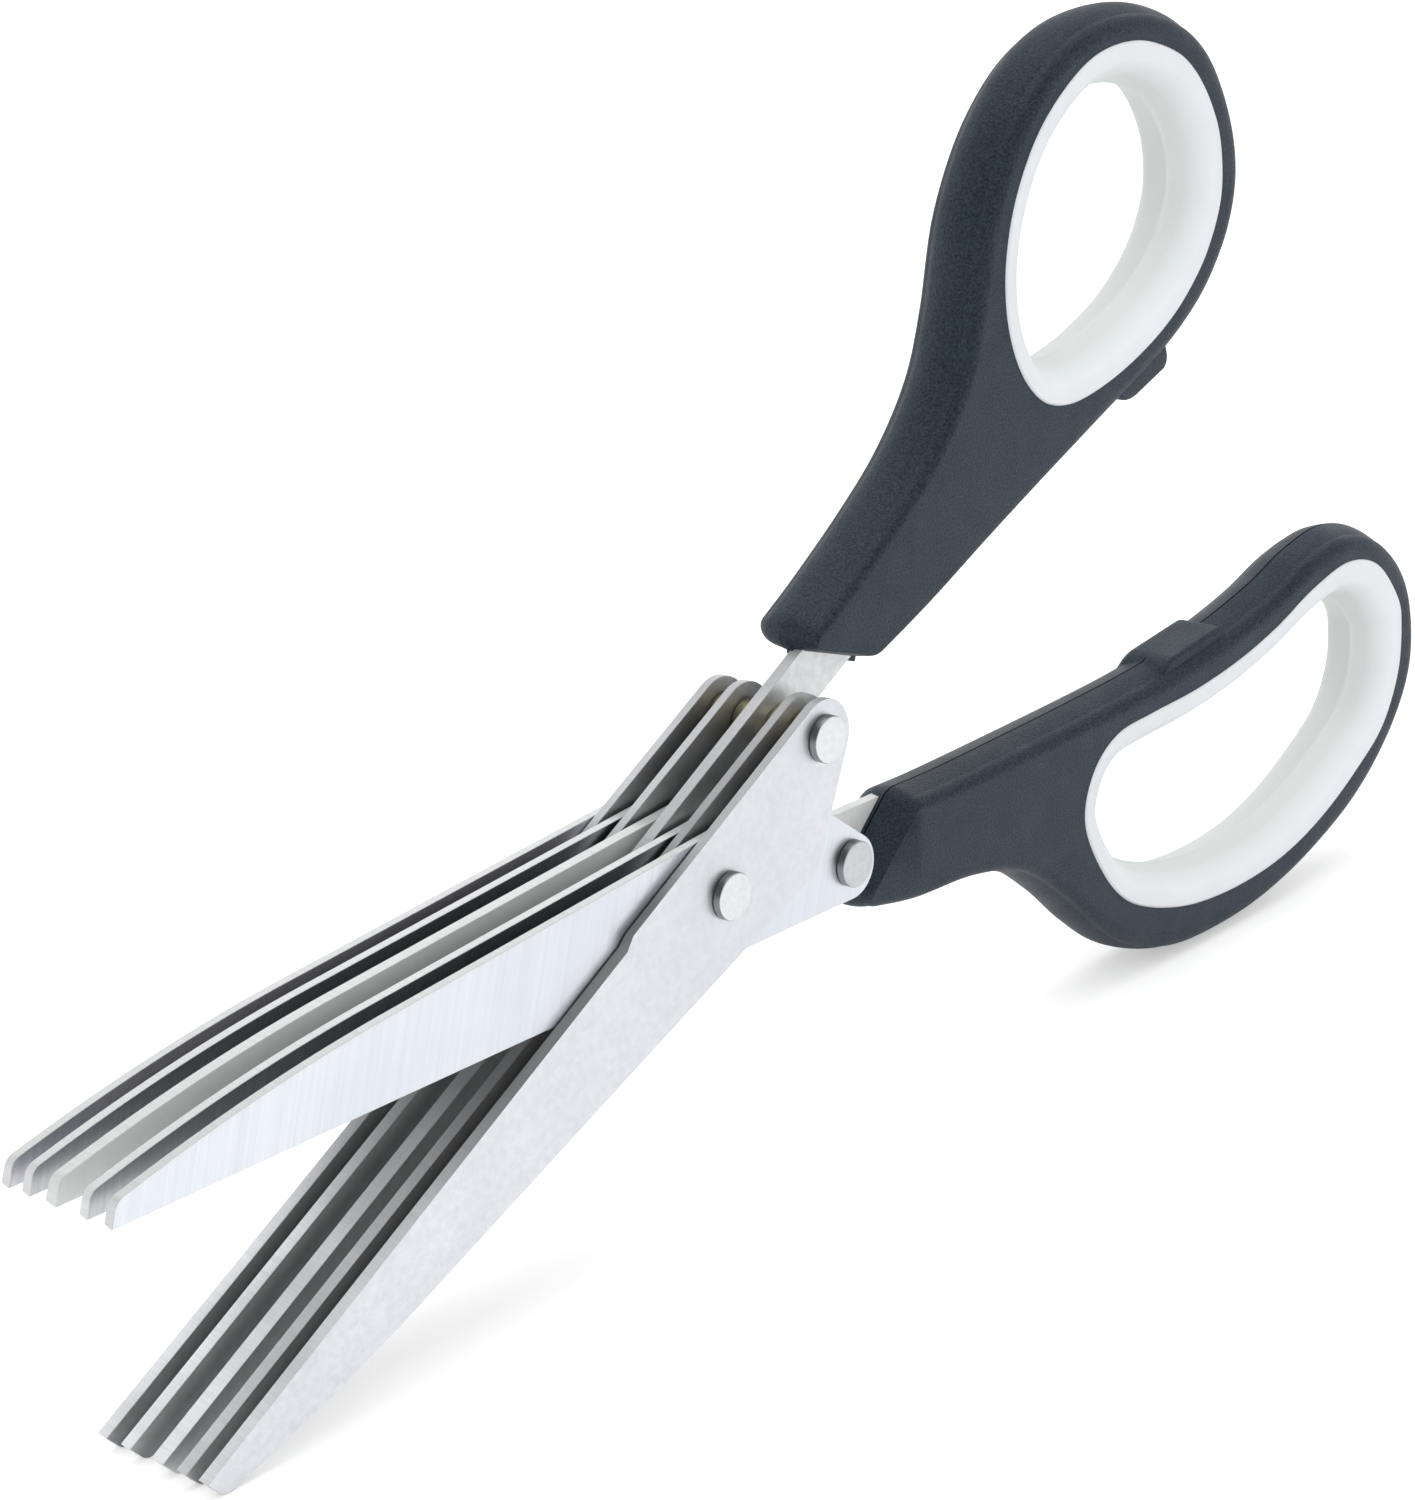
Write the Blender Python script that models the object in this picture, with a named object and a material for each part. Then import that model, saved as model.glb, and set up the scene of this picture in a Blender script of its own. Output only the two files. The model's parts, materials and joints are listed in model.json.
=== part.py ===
"""Herb scissors: two sets of five interleaved blades on one pivot rivet, with two lined loop handles.

Each half is drawn lying along +X in its own frame: the pivot is at the origin, the blades point
along -X with the cutting edge below and the spine above, and the handle reaches along +X. The
finger half is used as drawn. The thumb half is the same drawing turned over about its long axis.
"""
import math

import bmesh
import bpy

MM = 0.001

# Blade stack, front to back: thumb 1, finger 1, gap, thumb 2, finger 2, gap and so on
PAIRS = 5
MIDDLE_PAIR = PAIRS // 2
BLADE_THICKNESS = 0.9 * MM
TANG_BLADE_THICKNESS = 1.2 * MM
BLADE_PLAY = 0.1 * MM
PAIR_GAP = 0.95 * MM

# Blade outline, shared by both sets
BLADE_REACH = 69.8 * MM
BEVEL_WIDTH = 0.3 * MM
EDGE_START = 12.2 * MM
JOG_RUN = 1.3 * MM
TIP_END_DROP = 3.3 * MM
TIP_END_RAKE = 0.6 * MM
TIP_CORNER_RADIUS = 0.9 * MM
SPINE_STRAIGHT = 46.0 * MM
SPINE_STRAIGHT_RISE = 0.9 * MM
HEEL_RUN = 10.1 * MM
HEEL_RADIUS = 1.8 * MM
BACK_DEPTH = 6.3 * MM
TAIL_DROP = 2.7 * MM

# What differs between the sets: edge, heel, tail rivet and the round end behind it
FINGER_EDGE_DEPTH = 5.4 * MM
FINGER_HEEL_RISE = 6.3 * MM
FINGER_TAIL_RUN = 18.45 * MM
FINGER_TAIL_END = 21.8 * MM
FINGER_TAIL_RADIUS = 3.1 * MM
THUMB_EDGE_DEPTH = 5.95 * MM
THUMB_HEEL_RISE = 7.3 * MM
THUMB_TAIL_RUN = 17.2 * MM
THUMB_TAIL_END = 20.8 * MM
THUMB_TAIL_RADIUS = 3.6 * MM

# Tangs of the two middle blades
TANG_INNER_DROP = 1.1 * MM
TANG_OUTER_DROP = 6.6 * MM
TANG_REACH = 50.0 * MM
TANG_TAPER = 0.8 * MM
TANG_CORNER_RADIUS = 1.4 * MM
TANG_FILLET_RADIUS = 1.5 * MM

# Rivets and spacers
HEAD_RADIUS = 2.2 * MM
HEAD_THICKNESS = 0.75 * MM
HEAD_CHAMFER = 0.12 * MM
PIVOT_SHANK_RADIUS = 1.5 * MM
TAIL_SHANK_RADIUS = 1.2 * MM
HOLE_CLEARANCE = 0.25 * MM
PIVOT_SPACER_RADIUS = 2.6 * MM
TAIL_SPACER_RADIUS = 1.95 * MM
STACK_CLEARANCE = 0.1 * MM

# Handles
HANDLE_FRONT = 3.95 * MM
HANDLE_REAR = 3.65 * MM
WALL_CROWN = 1.0 * MM
FRONT_EDGE_RADIUS = 1.4 * MM
REAR_EDGE_RADIUS = 2.0 * MM
NECK_START = 22.2 * MM
NECK_CORNER_RADIUS = 1.9 * MM
FINGER_REACH = 125.6 * MM
FINGER_DROP = 29.9 * MM
THUMB_REACH = 103.4 * MM
THUMB_DROP = 31.6 * MM
TANG_SLOT_CLEARANCE = 0.3 * MM
TANG_SLOT_LEAD = 5.6 * MM
LINER_CLEARANCE = 0.3 * MM
LINER_PROUD = 0.2 * MM
LINER_RIM = 1.3 * MM
LINER_BULGE = 3.2 * MM

# Stop blocks, which meet when the scissors close
FINGER_STOP_START = 77.0 * MM
FINGER_STOP_END = 85.2 * MM
FINGER_STOP_START_RISE = 2.1 * MM
FINGER_STOP_END_RISE = 3.3 * MM
THUMB_STOP_START = 75.8 * MM
THUMB_STOP_END = 80.4 * MM
STOP_WIDTH = 6.0 * MM
STOP_RAMP = 3.0 * MM
STOP_ROOT = 1.5 * MM
STOP_GAP = 0.3 * MM

# Pose: angles in degrees between the long axes of the halves
OPEN_ANGLE = 29.3
CLOSING_TRAVEL = 22.0

# Facets
CIRCLE_SIDES = 24
ARC_STEPS = 5
CURVE_STEPS = 3
CROWN_STEPS = 2
FRONT_EDGE_STEPS = 2
REAR_EDGE_STEPS = 3
POSE_STEPS = 40

# Edges that turn by less than this many degrees are shaded smooth
SMOOTH_ANGLE = 35.0

# How crowned the walls and how round the front edge is at the neck, as a share of that at the loop's end
NECK_SOFTNESS = 0.5

# Handle outlines, counter-clockwise from the outer corner of the neck's slanted end: share of the
# length from neck to loop end, and share of the drop of the loop below the pivot
FINGER_BODY_SHARES = (
    (-0.005, -0.325), (0.09, -0.38), (0.18, -0.40), (0.26, -0.47), (0.325, -0.62),
    (0.385, -0.80), (0.44, -0.93), (0.52, -1.025), (0.61, -1.045), (0.70, -1.02),
    (0.795, -0.94), (0.887, -0.805), (0.96, -0.60), (0.998, -0.37), (0.996, -0.12),
    (0.967, 0.075), (0.91, 0.225), (0.84, 0.285), (0.77, 0.25), (0.70, 0.17),
    (0.61, 0.10), (0.50, 0.045), (0.38, 0.018), (0.26, 0.0), (0.16, -0.012), (0.09, -0.012),
)
FINGER_LOOP_SHARES = (
    (0.84, 0.165), (0.77, 0.12), (0.70, 0.035), (0.63, -0.025), (0.55, -0.065),
    (0.47, -0.08), (0.41, -0.10), (0.37, -0.19), (0.353, -0.34), (0.37, -0.50),
    (0.41, -0.675), (0.46, -0.78), (0.54, -0.86), (0.63, -0.885), (0.72, -0.86),
    (0.80, -0.78), (0.87, -0.66), (0.92, -0.54), (0.95, -0.36), (0.955, -0.18),
    (0.945, -0.05), (0.90, 0.11),
)
THUMB_BODY_SHARES = (
    (-0.01, -0.285), (0.10, -0.30), (0.20, -0.327), (0.287, -0.37), (0.367, -0.457),
    (0.427, -0.588), (0.496, -0.78), (0.57, -0.91), (0.64, -0.98), (0.71, -1.005),
    (0.78, -0.98), (0.85, -0.905), (0.91, -0.80), (0.958, -0.665), (0.986, -0.517),
    (0.994, -0.355), (0.988, -0.19), (0.967, -0.05), (0.93, 0.058), (0.883, 0.132),
    (0.82, 0.185), (0.74, 0.20), (0.65, 0.18), (0.55, 0.15), (0.44, 0.117),
    (0.32, 0.084), (0.20, 0.055), (0.10, 0.02),
)
THUMB_LOOP_SHARES = (
    (0.905, -0.64), (0.93, -0.52), (0.94, -0.38), (0.935, -0.24), (0.905, -0.085),
    (0.85, 0.02), (0.79, 0.07), (0.73, 0.085), (0.66, 0.07), (0.59, 0.03),
    (0.53, -0.03), (0.49, -0.115), (0.47, -0.23), (0.467, -0.36), (0.48, -0.50),
    (0.51, -0.635), (0.56, -0.76), (0.63, -0.855), (0.71, -0.89), (0.78, -0.87),
    (0.85, -0.78),
)
# Bore of a liner: share of the half thickness, and share of the way from rim to bulge
LINER_BORE_SHARES = (
    (-1.0, 0.0), (-0.93, 0.22), (-0.5, 0.68), (0.0, 1.0), (0.5, 0.68), (0.93, 0.22), (1.0, 0.0),
)


def clear_scene():
    for item in list(bpy.data.objects):
        bpy.data.objects.remove(item, do_unlink=True)


def finish(item, colour, roughness, metallic):
    """Give an object a material of its own."""
    material = bpy.data.materials.new(item.name + "_finish")
    material.use_nodes = True
    shader = material.node_tree.nodes["Principled BSDF"]
    shader.inputs["Base Color"].default_value = (*colour, 1.0)
    shader.inputs["Roughness"].default_value = roughness
    shader.inputs["Metallic"].default_value = metallic
    item.data.materials.clear()
    item.data.materials.append(material)


def steel_finish(item):
    finish(item, (0.72, 0.73, 0.74), 0.34, 1.0)


def brass_finish(item):
    finish(item, (0.78, 0.63, 0.36), 0.35, 1.0)


def hard_plastic_finish(item):
    finish(item, (0.035, 0.045, 0.055), 0.55, 0.0)


def soft_liner_finish(item):
    finish(item, (0.86, 0.88, 0.87), 0.5, 0.0)


# Outlines in the X-Z plane

def arc(center, radius, start, end, steps):
    """Points on a circle from angle start to angle end, both ends included."""
    angles = [start + (end - start) * i / steps for i in range(steps + 1)]
    return [(center[0] + radius * math.cos(a), center[1] + radius * math.sin(a)) for a in angles]


def circle(center, radius):
    return arc(center, radius, 0.0, 2.0 * math.pi, CIRCLE_SIDES)[:-1]


def curve(start, control, end, steps):
    """A quadratic curve that leaves start towards control and reaches end from it."""
    points = []
    for i in range(steps + 1):
        t = i / steps
        points.append(tuple((1 - t) ** 2 * a + 2 * t * (1 - t) * b + t * t * c
                            for a, b, c in zip(start, control, end)))
    return points


def unit(a, b):
    length = math.hypot(b[0] - a[0], b[1] - a[1])
    return ((b[0] - a[0]) / length, (b[1] - a[1]) / length)


def rounded(before, corner, after, radius):
    """The arc that rounds a corner between two straight runs, as a list of points."""
    back = unit(corner, before)
    ahead = unit(corner, after)
    half = math.acos(max(-1.0, min(1.0, back[0] * ahead[0] + back[1] * ahead[1]))) / 2
    reach = radius / math.tan(half)
    middle = unit((0, 0), (back[0] + ahead[0], back[1] + ahead[1]))
    to_center = radius / math.sin(half)
    center = (corner[0] + middle[0] * to_center, corner[1] + middle[1] * to_center)
    first = (corner[0] + back[0] * reach, corner[1] + back[1] * reach)
    last = (corner[0] + ahead[0] * reach, corner[1] + ahead[1] * reach)
    start = math.atan2(first[1] - center[1], first[0] - center[0])
    turn = math.atan2(last[1] - center[1], last[0] - center[0]) - start
    turn = (turn + math.pi) % (2 * math.pi) - math.pi
    return arc(center, radius, start, start + turn, ARC_STEPS)


def spline(points, closed, steps):
    """A smooth curve through all the points."""
    count = len(points)
    result = []
    for i in range(count if closed else count - 1):
        near = [points[(i + k) % count] if closed else points[max(0, min(count - 1, i + k))]
                for k in (-1, 0, 1, 2)]
        for j in range(steps):
            t = j / steps
            weights = (
                -0.5 * t + t * t - 0.5 * t ** 3,
                1 - 2.5 * t * t + 1.5 * t ** 3,
                0.5 * t + 2 * t * t - 1.5 * t ** 3,
                -0.5 * t * t + 0.5 * t ** 3,
            )
            result.append(tuple(sum(w * p[axis] for w, p in zip(weights, near)) for axis in (0, 1)))
    if not closed:
        result.append(points[-1])
    return result


def inset_by(outline, distances):
    """A counter-clockwise outline moved inwards, with mitred corners, by a distance per point."""
    count = len(outline)
    result = []
    for i in range(count):
        before = unit(outline[i - 1], outline[i])
        after = unit(outline[i], outline[(i + 1) % count])
        normal = unit((0, 0), (-before[1] - after[1], before[0] + after[0]))
        stretch = distances[i] / (normal[0] * -before[1] + normal[1] * before[0])
        result.append((outline[i][0] + normal[0] * stretch, outline[i][1] + normal[1] * stretch))
    return result


def inset(outline, distance):
    return inset_by(outline, [distance] * len(outline))


def moved_along(before, corner, beside, shift):
    """A corner moved along its wall until the end line from it to the corner beside has shifted."""
    wall = unit(before, corner)
    end = unit(corner, beside)
    run = shift / abs(wall[0] * end[1] - wall[1] * end[0])
    return (corner[0] + wall[0] * run, corner[1] + wall[1] * run)


def placed(shares, reach, drop):
    """Turn a table of shares into points of one handle."""
    return [(NECK_START + along * (reach - NECK_START), across * drop) for along, across in shares]


# Solids

def ring_of(mesh, outline, depth):
    """One closed loop of vertices at a depth, with its edges."""
    vertices = [mesh.verts.new((x, depth, z)) for x, z in outline]
    edges = [mesh.edges.new((vertices[i - 1], vertices[i])) for i in range(len(vertices))]
    return vertices, edges


def join_rings(mesh, first, second):
    for i in range(len(first)):
        mesh.faces.new((first[i - 1], first[i], second[i], second[i - 1]))


def cap(mesh, edges):
    bmesh.ops.triangle_fill(mesh, use_beauty=True, edges=edges)


def object_from(name, mesh):
    """Close the mesh, point its faces out and make it an object."""
    bmesh.ops.recalc_face_normals(mesh, faces=mesh.faces)
    data = bpy.data.meshes.new(name)
    mesh.to_mesh(data)
    mesh.free()
    item = bpy.data.objects.new(name, data)
    bpy.context.collection.objects.link(item)
    return item


def smooth(item):
    item.data.shade_smooth()
    item.data.set_sharp_from_angle(angle=math.radians(SMOOTH_ANGLE))


def plate(name, front, rear, thickness, holes):
    """A flat piece between a front and a rear outline, with round holes through it."""
    mesh = bmesh.new()
    front_ring, front_edges = ring_of(mesh, front, -thickness / 2)
    rear_ring, rear_edges = ring_of(mesh, rear, thickness / 2)
    join_rings(mesh, front_ring, rear_ring)
    for center, radius in holes:
        near, near_edges = ring_of(mesh, circle(center, radius), -thickness / 2)
        far, far_edges = ring_of(mesh, circle(center, radius), thickness / 2)
        join_rings(mesh, near, far)
        front_edges += near_edges
        rear_edges += far_edges
    cap(mesh, front_edges)
    cap(mesh, rear_edges)
    item = object_from(name, mesh)
    smooth(item)
    return item


def turned(name, profile):
    """A closed solid turned about Y from (radius, depth) points that start and end on the axis."""
    mesh = bmesh.new()
    rings = [ring_of(mesh, circle((0, 0), radius), depth)[0] for radius, depth in profile]
    for first, second in zip(rings, rings[1:]):
        join_rings(mesh, first, second)
    mesh.faces.new(rings[0])
    mesh.faces.new(rings[-1])
    item = object_from(name, mesh)
    smooth(item)
    return item


# Blades

class Half:
    """Sizes of one half's blades."""

    def __init__(self, edge_depth, heel_rise, tail_run, tail_end, tail_radius):
        self.edge_depth = edge_depth
        self.heel = (HEEL_RUN, heel_rise)
        self.rivet = (tail_run, -TAIL_DROP)
        self.end = (tail_end - tail_radius, tail_radius - BACK_DEPTH)
        self.radius = tail_radius

    def tail_arc(self):
        """The round end behind the rivet, up to where the straight run to the heel leaves it."""
        across = self.heel[0] - self.end[0]
        up = self.heel[1] - self.end[1]
        tangent = math.atan2(up, across) - math.acos(self.radius / math.hypot(across, up))
        return arc(self.end, self.radius, -math.pi / 2, tangent, 2 * ARC_STEPS)

    def edge(self, bevel):
        """From the tip along the cutting edge to the jog where the unground back begins."""
        height = bevel - self.edge_depth
        return [(-BLADE_REACH, height), (-EDGE_START, height), (-EDGE_START + JOG_RUN, -BACK_DEPTH)]

    def spine(self):
        """From the bend along the spine's curve to the blunt tip end."""
        bend = (-SPINE_STRAIGHT, SPINE_STRAIGHT_RISE)
        slope = (self.heel[1] - bend[1]) / (self.heel[0] - bend[0])
        shoulder = (-BLADE_REACH + TIP_END_RAKE, -TIP_END_DROP)
        middle = (bend[0] + shoulder[0]) / 2
        return curve(bend, (middle, bend[1] + slope * (middle - bend[0])), shoulder, 2 * ARC_STEPS)

    def front_part(self, before_heel, bevel):
        """From the heel along the spine and round the tip."""
        spine = self.spine()
        heel = rounded(before_heel, self.heel, spine[0], HEEL_RADIUS)
        tip = rounded(spine[-2], spine[-1], self.edge(bevel)[0], TIP_CORNER_RADIUS)
        return heel + spine[:-1] + tip

    def plain_outline(self, bevel):
        """Outline of a blade whose tail ends in an arc round its rivet."""
        tail = self.tail_arc()
        return self.edge(bevel) + tail + self.front_part(tail[-1], bevel)

    def tang_outline(self, bevel):
        """Outline of a middle blade, whose tail runs on as a tang into its handle."""
        touch = self.tail_arc()[-1]
        slope = (touch[1] - self.heel[1]) / (touch[0] - self.heel[0])
        root = (touch[0] + (-TANG_INNER_DROP - touch[1]) / slope, -TANG_INNER_DROP)
        shoulder = (NECK_START, -TANG_OUTER_DROP)
        outer_end = (TANG_REACH, TANG_TAPER - TANG_OUTER_DROP)
        inner_end = (TANG_REACH, -TANG_INNER_DROP - TANG_TAPER)
        end = rounded(shoulder, outer_end, inner_end, TANG_CORNER_RADIUS)
        end += rounded(outer_end, inner_end, root, TANG_CORNER_RADIUS)
        throat = rounded(inner_end, root, self.heel, TANG_FILLET_RADIUS)
        return self.edge(bevel) + [shoulder] + end + throat + self.front_part(root, bevel)

    def outline(self, index, bevel):
        return self.tang_outline(bevel) if index == MIDDLE_PAIR else self.plain_outline(bevel)


def blade(name, sizes, index):
    """One blade: flat and sharp on its front face, ground back on its rear face."""
    front = sizes.outline(index, 0.0)
    rear = sizes.outline(index, BEVEL_WIDTH)
    holes = [
        ((0.0, 0.0), PIVOT_SHANK_RADIUS + HOLE_CLEARANCE),
        (sizes.rivet, TAIL_SHANK_RADIUS + HOLE_CLEARANCE),
    ]
    item = plate(name, front, rear, thickness_of(index), holes)
    steel_finish(item)
    return item


# Rivets and spacers

def rivet(name, shank_radius, grip):
    """A rivet with a flat disc head at each end, centred on its own middle."""
    seat = grip / 2 + STACK_CLEARANCE
    outer = seat + HEAD_THICKNESS
    half = [
        (HEAD_RADIUS - HEAD_CHAMFER, -outer),
        (HEAD_RADIUS, -outer + HEAD_CHAMFER),
        (HEAD_RADIUS, -seat),
        (shank_radius, -seat),
    ]
    other = [(radius, -depth) for radius, depth in reversed(half)]
    item = turned(name, half + other)
    steel_finish(item)
    return item


def spacer(name, radius, bore, width):
    """A plain ring between two blades of one set."""
    item = plate(name, circle((0, 0), radius), circle((0, 0), radius), width, [((0, 0), bore)])
    brass_finish(item)
    return item


# Handles

def wall_section():
    """Points on a handle's side wall from front to back: depth, and how far in at the loop's end."""
    section = []
    front_flat = HANDLE_FRONT - FRONT_EDGE_RADIUS
    rear_flat = HANDLE_REAR - REAR_EDGE_RADIUS
    for i in range(FRONT_EDGE_STEPS):
        angle = math.pi / 2 * (1 - i / FRONT_EDGE_STEPS)
        rounding = FRONT_EDGE_RADIUS * (1 - math.cos(angle))
        section.append((-front_flat - FRONT_EDGE_RADIUS * math.sin(angle), WALL_CROWN, rounding))
    for i in range(CROWN_STEPS):
        share = 1 - i / CROWN_STEPS
        section.append((-front_flat * share, WALL_CROWN * share * share, 0.0))
    rear_crown = WALL_CROWN * (rear_flat / front_flat) ** 2
    for i in range(CROWN_STEPS):
        share = i / CROWN_STEPS
        section.append((rear_flat * share, rear_crown * share * share, 0.0))
    for i in range(REAR_EDGE_STEPS + 1):
        angle = math.pi / 2 * i / REAR_EDGE_STEPS
        rounding = REAR_EDGE_RADIUS * (1 - math.cos(angle))
        section.append((rear_flat + REAR_EDGE_RADIUS * math.sin(angle), rear_crown, rounding))
    return section


def softness(along, reach):
    """Share of the full rounding at one place along a handle."""
    share = max(0.0, min(1.0, (along - NECK_START) / (reach - NECK_START)))
    return NECK_SOFTNESS + (1 - NECK_SOFTNESS) * share


def body_outline(shares, reach, drop, end_shift):
    """Smooth outline of a handle, whose slanted neck end can be shifted out towards the blades."""
    points = placed(shares, reach, drop)
    outer_corner = moved_along(points[1], points[0], points[-1], end_shift)
    inner_corner = moved_along(points[-2], points[-1], points[0], end_shift)
    outer = rounded(inner_corner, outer_corner, points[1], NECK_CORNER_RADIUS)
    inner = rounded(points[-2], inner_corner, outer_corner, NECK_CORNER_RADIUS)
    sweep = spline([outer[-1]] + points[1:-1] + [inner[0]], False, CURVE_STEPS)
    return outer[:-1] + sweep + inner[1:]


def loop_outline(shares, reach, drop):
    return spline(placed(shares, reach, drop), True, CURVE_STEPS)


def upper_edge(outline, along):
    """Height of the outline's upper side at one place along it."""
    heights = []
    for a, b in zip(outline, outline[1:]):
        if min(a[0], b[0]) <= along <= max(a[0], b[0]) and a[0] != b[0]:
            heights.append(a[1] + (b[1] - a[1]) * (along - a[0]) / (b[0] - a[0]))
    return max(heights)


def finger_stop_face():
    """Start and end of the finger stop's face."""
    return (FINGER_STOP_START, FINGER_STOP_START_RISE), (FINGER_STOP_END, FINGER_STOP_END_RISE)


def thumb_stop_face():
    """Start and end of the thumb stop's face, along the ray from the pivot that meets the
    finger stop at the thumb stop's end when the scissors are closed."""
    start, end = finger_stop_face()
    share = (THUMB_STOP_END - start[0]) / (end[0] - start[0])
    rise = start[1] + share * (end[1] - start[1]) + STOP_GAP
    closed = math.radians(OPEN_ANGLE - CLOSING_TRAVEL)
    slope = math.tan(closed - math.atan(rise / THUMB_STOP_END))
    return tuple((x, x * slope) for x in (THUMB_STOP_START, THUMB_STOP_END))


def stop_block(name, outline, face):
    """A block with ramped ends on the side wall of a handle."""
    (start, start_rise), (end, end_rise) = face
    points = [
        (end, end_rise),
        (start, start_rise),
        (start - STOP_RAMP, upper_edge(outline, start - STOP_RAMP) - STOP_ROOT),
        (end + STOP_RAMP, upper_edge(outline, end + STOP_RAMP) - STOP_ROOT),
    ]
    return plate(name, points, points, STOP_WIDTH, [])


def tang_slot(name, outline_points, depth):
    """Cutter for the slot that takes a tang, open at the neck's end."""
    tang = [point for point in outline_points if point[0] > NECK_START - TANG_SLOT_LEAD]
    wide = inset(tang, -TANG_SLOT_CLEARANCE)
    cutter = plate(name, wide, wide, TANG_BLADE_THICKNESS + 2 * TANG_SLOT_CLEARANCE, [])
    cutter.location.y = depth
    return cutter


def cut_or_join(item, tool, operation):
    """Apply a tool to an object with a Boolean, and keep the tool out of the model."""
    modifier = item.modifiers.new(tool.name, "BOOLEAN")
    modifier.operation = operation
    modifier.solver = "EXACT"
    modifier.object = tool
    tool.hide_render = True
    tool.display_type = "WIRE"


def handle(name, shares, reach, drop, loop, facing):
    """A moulded handle: crowned walls, flat faces and a straight bore that seats the liner.
    Facing is 1 for a half as drawn and -1 for one turned over, so both show the same front."""
    mesh = bmesh.new()
    rings = []
    for depth, crown, rounding in wall_section():
        outline = body_outline(shares, reach, drop, NECK_SOFTNESS * crown)
        offsets = [crown * softness(x, reach) + rounding * (softness(x, reach) if depth < 0 else 1)
                   for x, z in outline]
        rings.append(ring_of(mesh, inset_by(outline, offsets), facing * depth))
    for first, second in zip(rings, rings[1:]):
        join_rings(mesh, first[0], second[0])
    seat = inset(loop, -LINER_CLEARANCE)
    front, front_edges = ring_of(mesh, seat, -facing * HANDLE_FRONT)
    rear, rear_edges = ring_of(mesh, seat, facing * HANDLE_REAR)
    join_rings(mesh, front, rear)
    cap(mesh, rings[0][1] + front_edges)
    cap(mesh, rings[-1][1] + rear_edges)
    item = object_from(name, mesh)
    smooth(item)
    hard_plastic_finish(item)
    return item


def liner(name, loop, facing):
    """A soft ring in the loop, thin at its rims and bulging inwards at mid depth."""
    mesh = bmesh.new()
    half = (HANDLE_FRONT + HANDLE_REAR) / 2 + LINER_PROUD
    middle = facing * (HANDLE_REAR - HANDLE_FRONT) / 2
    outer = [ring_of(mesh, loop, depth)[0] for depth in (middle - half, middle + half)]
    bore = []
    for depth, share in LINER_BORE_SHARES:
        offset = LINER_RIM + (LINER_BULGE - LINER_RIM) * share
        bore.append(ring_of(mesh, inset(loop, offset), middle + depth * half)[0])
    join_rings(mesh, outer[0], outer[1])
    for first, second in zip(bore, bore[1:]):
        join_rings(mesh, first, second)
    join_rings(mesh, outer[0], bore[0])
    join_rings(mesh, outer[1], bore[-1])
    item = object_from(name, mesh)
    smooth(item)
    soft_liner_finish(item)
    return item


# Assembly

def stack_layers():
    """Depth of the middle of each blade, front to back, with the whole stack centred."""
    thumb = []
    finger = []
    depth = 0.0
    for pair in range(PAIRS):
        thickness = TANG_BLADE_THICKNESS if pair == MIDDLE_PAIR else BLADE_THICKNESS
        thumb.append(depth + thickness / 2)
        finger.append(depth + thickness + BLADE_PLAY + thickness / 2)
        depth += 2 * thickness + BLADE_PLAY + PAIR_GAP
    total = depth - PAIR_GAP
    return [d - total / 2 for d in thumb], [d - total / 2 for d in finger], total


def attach(item, half, x, y, z):
    item.parent = half
    item.location = (x, y, z)


def half_empty(name, root):
    """The frame of one half, on the pivot's axis."""
    half = bpy.data.objects.new(name, None)
    bpy.context.collection.objects.link(half)
    half.parent = root
    return half


def thickness_of(index):
    return TANG_BLADE_THICKNESS if index == MIDDLE_PAIR else BLADE_THICKNESS


def build_blades(label, half, depths, sizes):
    """Five blades of one half at given depths in that half's frame."""
    for index, depth in enumerate(depths):
        attach(blade(f"{label}_blade_{index + 1}", sizes, index), half, 0, depth, 0)


def build_tail(label, half, depths, sizes):
    """The tail rivet of one half and the spacers between its blades."""
    x, z = sizes.rivet
    ends = (min(depths) - BLADE_THICKNESS / 2, max(depths) + BLADE_THICKNESS / 2)
    item = rivet(f"{label}_tail_rivet", TAIL_SHANK_RADIUS, ends[1] - ends[0])
    attach(item, half, x, (ends[0] + ends[1]) / 2, z)
    for index in range(PAIRS - 1):
        near, far = sorted((depths[index], depths[index + 1]))
        reach = (thickness_of(index) + thickness_of(index + 1)) / 2
        width = far - near - reach - 2 * STACK_CLEARANCE
        first_is_near = depths[index] < depths[index + 1]
        near_half = thickness_of(index if first_is_near else index + 1) / 2
        middle = near + near_half + STACK_CLEARANCE + width / 2
        bore = TAIL_SHANK_RADIUS + HOLE_CLEARANCE
        ring = spacer(f"{label}_tail_spacer_{index + 1}", TAIL_SPACER_RADIUS, bore, width)
        attach(ring, half, x, middle, z)


def build_pivot(half, finger_depths, grip):
    """The pivot rivet through all ten blades and the rings between the pairs."""
    attach(rivet("pivot_rivet", PIVOT_SHANK_RADIUS, grip), half, 0, 0, 0)
    bore = PIVOT_SHANK_RADIUS + HOLE_CLEARANCE
    width = PAIR_GAP - 2 * STACK_CLEARANCE
    for index in range(PAIRS - 1):
        middle = finger_depths[index] + thickness_of(index) / 2 + PAIR_GAP / 2
        ring = spacer(f"pivot_spacer_{index + 1}", PIVOT_SPACER_RADIUS, bore, width)
        attach(ring, half, 0, middle, 0)


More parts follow.
